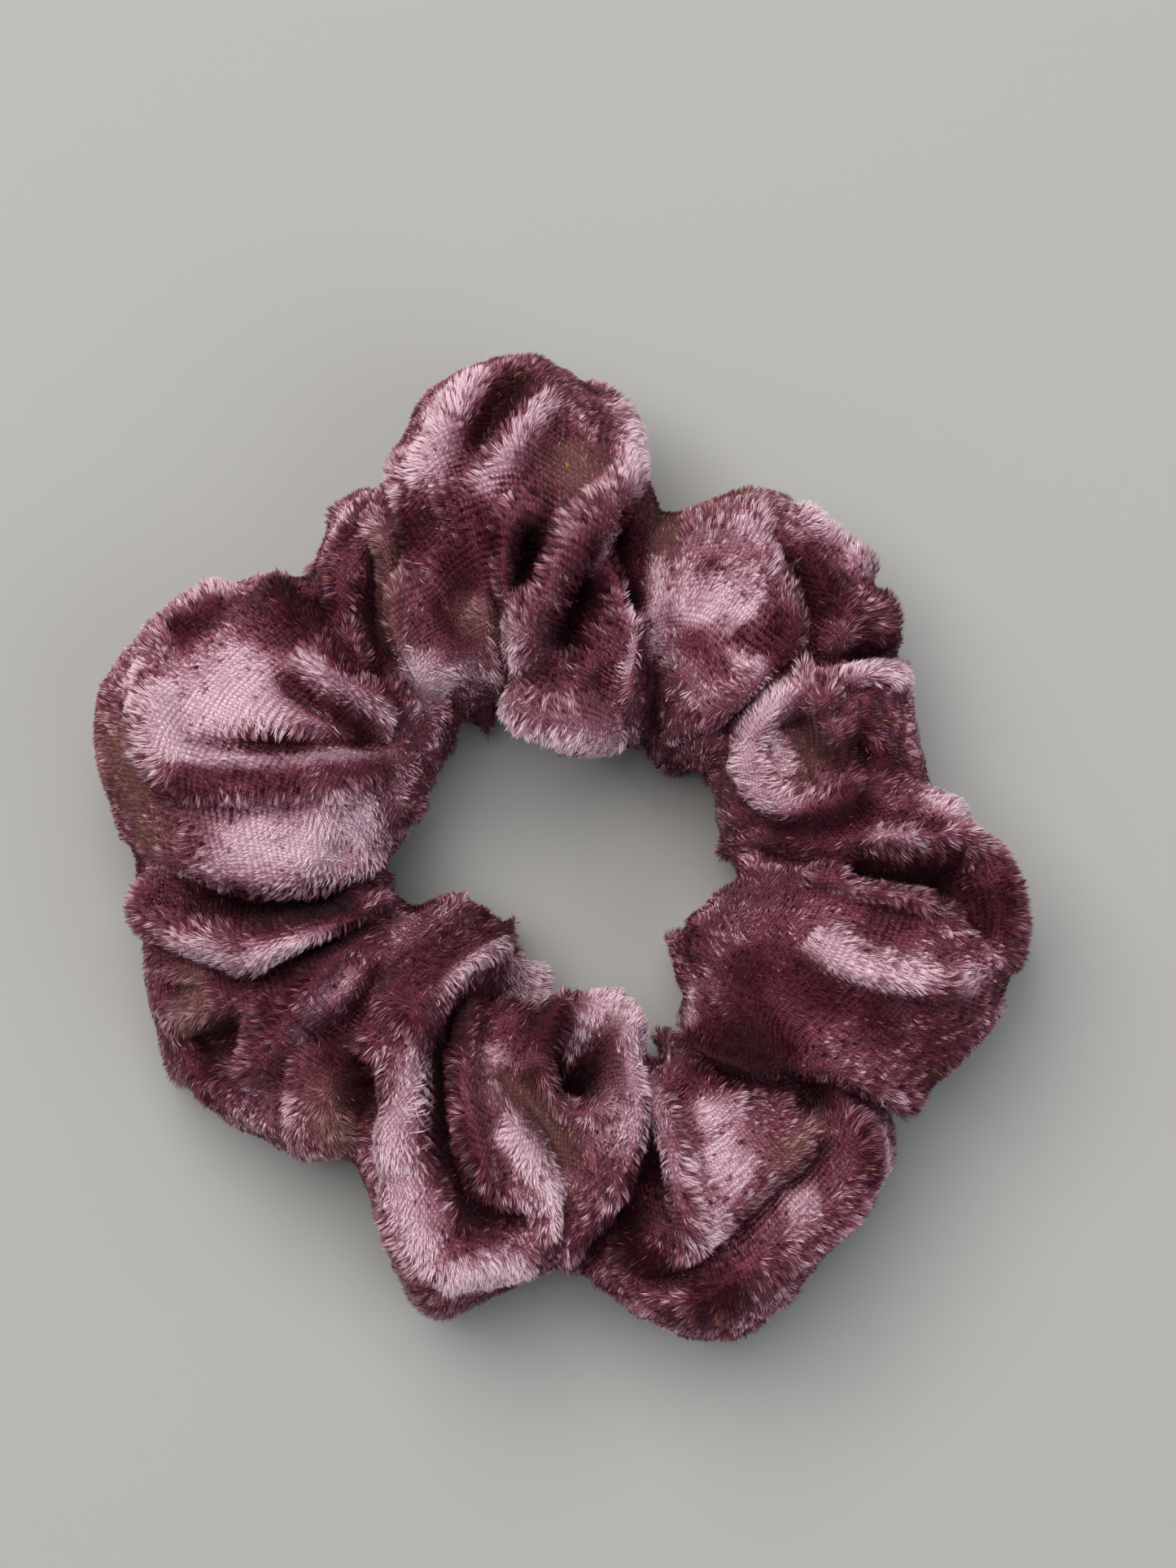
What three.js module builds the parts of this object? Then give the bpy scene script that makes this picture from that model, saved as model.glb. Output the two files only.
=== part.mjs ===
// A velvet scrunchie lying on a table: a gathered tube of stretch velvet over a flat elastic
// loop. Millimetres, +Z up, origin on the table under the middle of the outer box.
//
// The cloth tube is modelled as the space that the gathered cloth fills, with the tunnel that
// the elastic runs through left open. The loop is cut at X = 0 into a left and a right half,
// which slide apart along X when the scrunchie is pulled open.

import * as THREE from 'three';

// ---- driving dimensions -------------------------------------------------------------------

const RING_CENTRE = new THREE.Vector2(-0.2, -3.05); // middle of the hair hole
const GAP = 0.3; // clearance between neighbouring solids
const HALF_GAP = GAP / 2;

// The puffs of gathered cloth and the dips between them, counter-clockwise from +X: direction
// from the middle of the hole in degrees, distance of the inner and the outer edge, and height
// of the crest.
const PUFFS = [
  { angle: 0, inner: 19.6, outer: 54.3, top: 31 },
  { angle: 6, inner: 19.4, outer: 51.5, top: 29 },
  { angle: 13, inner: 18.8, outer: 46.6, top: 27 },
  { angle: 20, inner: 18.6, outer: 46.4, top: 28 },
  { angle: 27, inner: 19.6, outer: 48.0, top: 29 },
  { angle: 34, inner: 20.0, outer: 50.3, top: 29 },
  { angle: 44, inner: 18.6, outer: 51.8, top: 30 },
  { angle: 52, inner: 17.0, outer: 52.2, top: 30 },
  { angle: 60, inner: 17.5, outer: 53.6, top: 30 },
  { angle: 67, inner: 17.2, outer: 50.2, top: 29 },
  { angle: 74, inner: 15.6, outer: 45.6, top: 28 },
  { angle: 80, inner: 14.3, outer: 52.2, top: 31 },
  { angle: 86, inner: 13.9, outer: 58.4, top: 34 },
  { angle: 91, inner: 14.2, outer: 61.6, top: 34 },
  { angle: 96, inner: 16.4, outer: 62.6, top: 34 },
  { angle: 102, inner: 19.0, outer: 61.0, top: 34 },
  { angle: 107, inner: 20.4, outer: 58.4, top: 33 },
  { angle: 113, inner: 21.0, outer: 52.0, top: 29 },
  { angle: 118, inner: 21.0, outer: 52.6, top: 28 },
  { angle: 123, inner: 20.2, outer: 51.6, top: 27 },
  { angle: 128, inner: 19.4, outer: 47.4, top: 26 },
  { angle: 134, inner: 18.4, outer: 50.4, top: 28 },
  { angle: 143, inner: 17.4, outer: 55.0, top: 31 },
  { angle: 151, inner: 16.8, outer: 57.8, top: 33 },
  { angle: 160, inner: 17.0, outer: 58.6, top: 33 },
  { angle: 168, inner: 18.2, outer: 55.6, top: 31 },
  { angle: 176, inner: 18.8, outer: 51.4, top: 28 },
  { angle: 190, inner: 16.6, outer: 50.9, top: 26 },
  { angle: 200, inner: 14.6, outer: 51.8, top: 26 },
  { angle: 209, inner: 13.6, outer: 51.4, top: 26 },
  { angle: 217, inner: 13.4, outer: 48.8, top: 27 },
  { angle: 225, inner: 13.4, outer: 46.0, top: 28 },
  { angle: 233, inner: 13.4, outer: 41.6, top: 29 },
  { angle: 239, inner: 13.4, outer: 43.8, top: 30 },
  { angle: 246, inner: 13.6, outer: 48.8, top: 31 },
  { angle: 254, inner: 14.4, outer: 54.4, top: 32 },
  { angle: 260, inner: 15.2, outer: 50.8, top: 31 },
  { angle: 266, inner: 15.8, outer: 47.4, top: 30 },
  { angle: 272, inner: 16.0, outer: 45.6, top: 28 },
  { angle: 279, inner: 17.2, outer: 51.4, top: 28 },
  { angle: 286, inner: 18.8, outer: 56.8, top: 28 },
  { angle: 292, inner: 20.6, outer: 58.6, top: 29 },
  { angle: 298, inner: 22.2, outer: 57.0, top: 29 },
  { angle: 305, inner: 22.8, outer: 55.0, top: 29 },
  { angle: 312, inner: 22.0, outer: 54.4, top: 28 },
  { angle: 319, inner: 18.8, outer: 53.0, top: 28 },
  { angle: 326, inner: 15.8, outer: 48.2, top: 29 },
  { angle: 333, inner: 14.6, outer: 51.6, top: 31 },
  { angle: 340, inner: 14.8, outer: 54.2, top: 32 },
  { angle: 347, inner: 16.0, outer: 55.0, top: 33 },
  { angle: 354, inner: 18.0, outer: 55.8, top: 32 },
];

const CLOTH_SIDES = 20; // facets round the cloth tube
const CLOTH_STEP_DEGREES = 4; // length of a facet along the loop
const BASE_DROP = 3.5; // how far a free puff would hang below the table that flattens it
const CLOTH_SQUARENESS = 0.85; // 1 for an oval section, less for a boxier one

const CLOSING_SEAM_ANGLE = 38; // where the two ends of the cloth tube are sewn together

const TUNNEL = { radius: 27, height: 15, halfWidth: 4.2, halfHeight: 5.5 };

const ELASTIC = { radius: 26.5, width: 6, thickness: 1.2 };
// The elastic's overlapped ends, in degrees: the outer end lies over the inner one as far as
// `clear` and has come back to the plain radius at `settled`.
const LAP = { start: -33, end: -7, clear: -6, settled: 16 };
const ELASTIC_STEP_DEGREES = 6;

const THREAD_DIAMETER = 0.5;
const TACK_THREAD_DIAMETER = 0.4;
const THREAD_SIDES = 8;
const THREAD_POINT_DEGREES = 8; // between the points that a seam thread is drawn through
const THREAD_STEP_DEGREES = 4.5; // between its facets
const SEAM_THREAD = { offset: 0.9, drop: 4.3 }; // from the middle of the tunnel
const SEAM_LOOP = { halfWidth: 3.4, halfHeight: 4.8, facets: 24, spread: 1.2, clear: 3.2 };
const TACK = { start: -27, end: -13, rows: 8, facetsPerRow: 6, halfHeight: 2.3, lift: 0.35 };

// ---- materials ----------------------------------------------------------------------------

const velvet = new THREE.MeshStandardMaterial({ color: 0x8a5563, roughness: 0.8, metalness: 0 });
const braid = new THREE.MeshStandardMaterial({ color: 0xe9e5dd, roughness: 0.75, metalness: 0 });
const thread = new THREE.MeshStandardMaterial({ color: 0x6f3a4c, roughness: 0.6, metalness: 0 });

// ---- the loop's own coordinates -----------------------------------------------------------

const radians = THREE.MathUtils.degToRad;

/** The point at a direction from the ring's middle, a distance from it and a height. */
function onRing(degrees, distance, height) {
  const turn = radians(degrees);
  return new THREE.Vector3(
    RING_CENTRE.x + distance * Math.cos(turn),
    RING_CENTRE.y + distance * Math.sin(turn),
    height,
  );
}

/** The angle that an arc of this length takes up at this radius, in degrees. */
function arcAngle(length, radius) {
  return THREE.MathUtils.radToDeg(length / radius);
}

/** The direction of travel round the ring, counter-clockwise. */
function alongRing(degrees) {
  const turn = radians(degrees);
  return new THREE.Vector3(-Math.sin(turn), Math.cos(turn), 0);
}

// The same sizes as a smooth curve, with the last and the first puff repeated past each end.
const wrapped = [{ ...PUFFS.at(-1), angle: PUFFS.at(-1).angle - 360 }, ...PUFFS];
wrapped.push({ ...PUFFS[0], angle: 360 }, { ...PUFFS[1], angle: PUFFS[1].angle + 360 });
const puffCurve = new THREE.CubicInterpolant(
  wrapped.map((puff) => puff.angle),
  wrapped.flatMap((puff) => [puff.inner, puff.outer, puff.top]),
  3,
);

/** The puff size at any direction. */
function puffAt(degrees) {
  const [inner, outer, top] = puffCurve.evaluate(THREE.MathUtils.euclideanModulo(degrees, 360));
  return { inner, outer, top };
}

// ---- the cloth tube -----------------------------------------------------------------------

/** One cross-section of the outside of the cloth, flattened where it rests on the table. */
function clothSection(degrees) {
  const { inner, outer, top } = puffAt(degrees);
  const rise = (top + BASE_DROP) / 2;
  const points = [];
  for (let side = 0; side < CLOTH_SIDES; side += 1) {
    const turn = (2 * Math.PI * side) / CLOTH_SIDES;
    const across = Math.sign(Math.cos(turn)) * Math.abs(Math.cos(turn)) ** CLOTH_SQUARENESS;
    const up = Math.sign(Math.sin(turn)) * Math.abs(Math.sin(turn)) ** CLOTH_SQUARENESS;
    const distance = (inner + outer) / 2 + ((outer - inner) / 2) * across;
    points.push(onRing(degrees, distance, Math.max(0, top - rise + rise * up)));
  }
  return points;
}

/** One cross-section of the tunnel that the elastic runs through. */
function tunnelSection(degrees) {
  const points = [];
  for (let side = 0; side < CLOTH_SIDES; side += 1) {
    const turn = (2 * Math.PI * side) / CLOTH_SIDES;
    const distance = TUNNEL.radius + TUNNEL.halfWidth * Math.cos(turn);
    points.push(onRing(degrees, distance, TUNNEL.height + TUNNEL.halfHeight * Math.sin(turn)));
  }
  return points;
}

/** The closed solid between a row of outer sections and the tunnel inside them. */
function sleeve(from, to) {
  const steps = 2 * Math.round((to - from) / CLOTH_STEP_DEGREES / 2);
  const rings = [];
  const addRing = (section, step) => {
    const degrees = from + ((to - from) * step) / steps;
    const inset = step === 0 ? HALF_GAP : step === steps ? -HALF_GAP : 0;
    const shift = alongRing(degrees).multiplyScalar(inset);
    rings.push(section(degrees).map((point) => point.add(shift)));
  };
  for (let step = 0; step <= steps; step += 1) addRing(clothSection, step);
  for (let step = steps; step >= 0; step -= 2) addRing(tunnelSection, step);

  const positions = rings.flat().flatMap((point) => point.toArray());
  const indices = [];
  for (let ring = 0; ring < rings.length; ring += 1) {
    const row = ring * CLOTH_SIDES;
    const nextRow = ((ring + 1) % rings.length) * CLOTH_SIDES;
    for (let side = 0; side < CLOTH_SIDES; side += 1) {
      const nextSide = (side + 1) % CLOTH_SIDES;
      const [a, b, c, d] = [row + side, row + nextSide, nextRow + nextSide, nextRow + side];
      indices.push(a, c, b, a, d, c);
    }
  }
  const geometry = new THREE.BufferGeometry();
  geometry.setAttribute('position', new THREE.Float32BufferAttribute(positions, 3));
  geometry.setIndex(indices);
  geometry.computeVertexNormals();
  return geometry;
}

// ---- tubes and strips along a path --------------------------------------------------------

/** A round thread along a list of points. */
function threadAlong(points, diameter, steps) {
  const section = new THREE.Shape().absarc(0, 0, diameter / 2, 0, 2 * Math.PI);
  return new THREE.ExtrudeGeometry(section, {
    steps,
    curveSegments: THREAD_SIDES / 2, // for each half turn
    bevelEnabled: false,
    extrudePath: new THREE.CatmullRomCurve3(points),
  });
}

/** Evenly spaced points from one direction to another, with a distance and a height each. */
function arcPoints(from, to, count, distanceAt, height) {
  return Array.from({ length: count }, (_, i) => {
    const degrees = from + ((to - from) * i) / (count - 1);
    return onRing(degrees, distanceAt(degrees), height);
  });
}

/** A flat strip standing on edge, with four corners at each of its stations along the ring. */
function stripAlong(from, to, distanceAt) {
  const stations = Math.round((to - from) / ELASTIC_STEP_DEGREES);
  const [halfThick, halfWide] = [ELASTIC.thickness / 2, ELASTIC.width / 2];
  const corners = [[-1, -1], [1, -1], [1, 1], [-1, 1]];
  const positions = [];
  for (let i = 0; i <= stations; i += 1) {
    const degrees = from + ((to - from) * i) / stations;
    for (const [across, up] of corners) {
      const distance = distanceAt(degrees) + across * halfThick;
      positions.push(...onRing(degrees, distance, TUNNEL.height + up * halfWide).toArray());
    }
  }
  const indices = [0, 1, 2, 0, 2, 3];
  for (let i = 0; i < stations; i += 1) {
    for (let side = 0; side < 4; side += 1) {
      const [a, b] = [i * 4 + side, i * 4 + ((side + 1) % 4)];
      indices.push(a, a + 4, b + 4, a, b + 4, b);
    }
  }
  const last = stations * 4;
  indices.push(last, last + 2, last + 1, last, last + 3, last + 2);
  const geometry = new THREE.BufferGeometry();
  geometry.setAttribute('position', new THREE.Float32BufferAttribute(positions, 3));
  geometry.setIndex(indices);
  geometry.computeVertexNormals();
  return geometry;
}

// ---- the elastic and its stitching --------------------------------------------------------

/** The radius of the elastic's outer end, which lies on the other end across the lap. */
function lappedRadius(degrees) {
  const lift = ELASTIC.thickness + GAP;
  return ELASTIC.radius + lift * (1 - THREE.MathUtils.smoothstep(degrees, LAP.clear, LAP.settled));
}

/** The zigzag tack that holds the lapped ends of the elastic together. */
function tackThread() {
  const face = lappedRadius(LAP.start) + ELASTIC.thickness / 2;
  const outside = face + TACK.lift + TACK_THREAD_DIAMETER / 2;
  const points = Array.from({ length: TACK.rows }, (_, i) => {
    const degrees = TACK.start + ((TACK.end - TACK.start) * i) / (TACK.rows - 1);
    const side = i % 2 === 0 ? -1 : 1;
    return onRing(degrees, outside, TUNNEL.height + side * TACK.halfHeight);
  });
  return threadAlong(points, TACK_THREAD_DIAMETER, TACK.rows * TACK.facetsPerRow);
}

/** A thread of the long seam, along the bottom of the tunnel on one side of the cloth edges. */
function longSeamThread(from, to, offset) {
  const points = arcPoints(
    from, to, Math.round((to - from) / THREAD_POINT_DEGREES) + 1,
    () => TUNNEL.radius + offset,
    TUNNEL.height - SEAM_THREAD.drop,
  );
  return threadAlong(points, THREAD_DIAMETER, Math.round((to - from) / THREAD_STEP_DEGREES));
}

/** A thread of the closing seam, which goes once round the tube. */
function closingSeamThread(degrees) {
  const { halfWidth, halfHeight, facets } = SEAM_LOOP;
  const loop = new THREE.TorusGeometry(halfHeight, THREAD_DIAMETER / 2, THREAD_SIDES, facets);
  loop.scale(halfWidth / halfHeight, 1, 1);
  loop.rotateX(Math.PI / 2);
  loop.rotateZ(radians(degrees));
  loop.translate(...onRing(degrees, TUNNEL.radius, TUNNEL.height).toArray());
  return loop;
}

// ---- assembly -----------------------------------------------------------------------------

function piece(name, geometry, material) {
  const mesh = new THREE.Mesh(geometry, material);
  mesh.name = name;
  return mesh;
}

function longSeam(stitch, offset) {
  const end = arcAngle(HALF_GAP, TUNNEL.radius);
  const seam = CLOSING_SEAM_ANGLE;
  const spans = {
    left: [90 + end, 270 - end],
    right_upper: [seam + SEAM_LOOP.clear, 90 - end],
    right_lower: [-90 + end, seam - SEAM_LOOP.clear],
  };
  return Object.fromEntries(
    Object.entries(spans).map(([side, [from, to]]) => [
      side, piece(`long_seam_${stitch}_thread_${side}`, longSeamThread(from, to, offset), thread),
    ]),
  );
}

const needle = longSeam('needle', SEAM_THREAD.offset);
const bobbin = longSeam('bobbin', -SEAM_THREAD.offset);
const elasticEnd = arcAngle(HALF_GAP, ELASTIC.radius);
const closingNeedle = closingSeamThread(CLOSING_SEAM_ANGLE + SEAM_LOOP.spread);
const closingBobbin = closingSeamThread(CLOSING_SEAM_ANGLE - SEAM_LOOP.spread);
const plainRadius = () => ELASTIC.radius;

const leftHalf = new THREE.Group();
leftHalf.add(
  piece('velvet_cover_left', sleeve(90, 270), velvet),
  piece('elastic_left', stripAlong(90 + elasticEnd, 270 - elasticEnd, plainRadius), braid),
  needle.left,
  bobbin.left,
);

const rightHalf = new THREE.Group();
rightHalf.add(
  piece('velvet_cover_right_upper', sleeve(CLOSING_SEAM_ANGLE, 90), velvet),
  piece('velvet_cover_right_lower', sleeve(-90, CLOSING_SEAM_ANGLE), velvet),
  piece('elastic_right_upper', stripAlong(LAP.start, 90 - elasticEnd, lappedRadius), braid),
  piece('elastic_right_lower', stripAlong(-90 + elasticEnd, LAP.end, plainRadius), braid),
  piece('elastic_tack_thread', tackThread(), thread),
  needle.right_upper,
  needle.right_lower,
  bobbin.right_upper,
  bobbin.right_lower,
  piece('closing_seam_needle_thread', closingNeedle, thread),
  piece('closing_seam_bobbin_thread', closingBobbin, thread),
);

const scrunchie = new THREE.Group();
scrunchie.add(leftHalf, rightHalf);

export default scrunchie;
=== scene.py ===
import math

import bpy
import numpy as np
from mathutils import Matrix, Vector
from mathutils.bvhtree import BVHTree


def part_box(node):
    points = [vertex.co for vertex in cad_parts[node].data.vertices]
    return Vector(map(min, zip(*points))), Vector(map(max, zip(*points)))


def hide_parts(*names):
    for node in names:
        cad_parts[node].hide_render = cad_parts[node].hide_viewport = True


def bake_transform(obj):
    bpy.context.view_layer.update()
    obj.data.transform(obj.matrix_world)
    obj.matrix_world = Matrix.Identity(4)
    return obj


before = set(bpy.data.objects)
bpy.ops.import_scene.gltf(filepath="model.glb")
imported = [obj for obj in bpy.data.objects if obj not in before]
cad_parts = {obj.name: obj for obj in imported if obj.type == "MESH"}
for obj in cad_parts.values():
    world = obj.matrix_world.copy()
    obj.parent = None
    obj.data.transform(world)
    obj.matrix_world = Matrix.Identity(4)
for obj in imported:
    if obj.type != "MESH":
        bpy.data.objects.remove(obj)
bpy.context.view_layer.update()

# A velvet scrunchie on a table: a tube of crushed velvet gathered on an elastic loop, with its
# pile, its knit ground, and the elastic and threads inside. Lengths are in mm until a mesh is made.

MM = 0.001
COVER_NODES = ["velvet_cover_left", "velvet_cover_right_upper", "velvet_cover_right_lower"]

# ---- what the frame says about the ring ----

LO, HI = (np.array(c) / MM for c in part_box("elastic_left"))
ELASTIC_OUTSIDE = (HI[1] - LO[1]) / 2  # from the middle of the ring
CENTRE = np.array([LO[0] + ELASTIC_OUTSIDE, (LO[1] + HI[1]) / 2])
TUNNEL_HEIGHT = (LO[2] + HI[2]) / 2
THREAD_RADIUS = 0.25
THREAD_OFFSET = 0.9  # of each seam thread from the seam's line
SEAM_LO, SEAM_HI = (np.array(c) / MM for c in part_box("long_seam_needle_thread_left"))
SEAM_RADIUS = (SEAM_HI[1] - SEAM_LO[1]) / 2 - THREAD_OFFSET - THREAD_RADIUS
SEAM_HEIGHT = (SEAM_LO[2] + SEAM_HI[2]) / 2
TUBE_RADIUS, TUBE_HEIGHT = 36, 15  # where the tube of cloth has its middle

VIEW_AIM = np.array([3.3, 8.0, 15])  # the middle of the camera's view
VIEW_DISTANCE = 450  # from there to the camera
VIEW_SPAN = 183.5238  # what the picture's height shows there
VIEW_TILT = math.radians(4)

ROWS = 560  # round the ring
ROW_DEGREES = np.arange(ROWS) * 360 / ROWS
SQUARENESS = 0.85  # of the cloth's section: 1 is an oval
BASE_DROP = 3.5  # how far a free puff would hang below the table
PILE_STAND = 1.3  # how much of the CAD size the pile takes up


def cad_surface():
    """The cover's CAD solids as one thing to cast rays at."""
    verts, faces = [], []
    for name in COVER_NODES:
        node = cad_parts[name]
        start = len(verts)
        verts += [node.matrix_world @ v.co for v in node.data.vertices]
        faces += [[start + i for i in p.vertices] for p in node.data.polygons]
    return BVHTree.FromPolygons(verts, faces)


def envelope():
    """Inner edge, outer edge and crest height of the CAD cover at each row's direction."""
    surface = cad_surface()
    middle = Vector((CENTRE[0] * MM, CENTRE[1] * MM, TUNNEL_HEIGHT * MM))
    beyond = 0.1  # metres, well outside the ring
    at = np.arange(1, 360, 2)
    found = []
    for degrees in at:
        turn = math.radians(degrees)
        out = Vector((math.cos(turn), math.sin(turn), 0))
        inner = surface.ray_cast(middle, out)[0]
        outer = surface.ray_cast(middle + out * beyond, -out)[0]
        inside, outside = ((p - middle).length / MM for p in (inner, outer))
        over = middle + out * ((inside + outside) / 2 * MM) + Vector((0, 0, beyond))
        top = surface.ray_cast(over, Vector((0, 0, -1)))[0]
        found.append((inside, outside, top.z / MM))
    found = np.array(found)
    return [np.interp(ROW_DEGREES, at, found[:, k], period=360) for k in range(3)]


INNER, OUTER, TOP = envelope()


# ---- the folds ----
# A point of a fold is (direction round the ring in degrees, place across the top): 0 is the
# edge of the hole, 1 the outer edge, below 0 and above 1 the sides under them.

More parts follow.
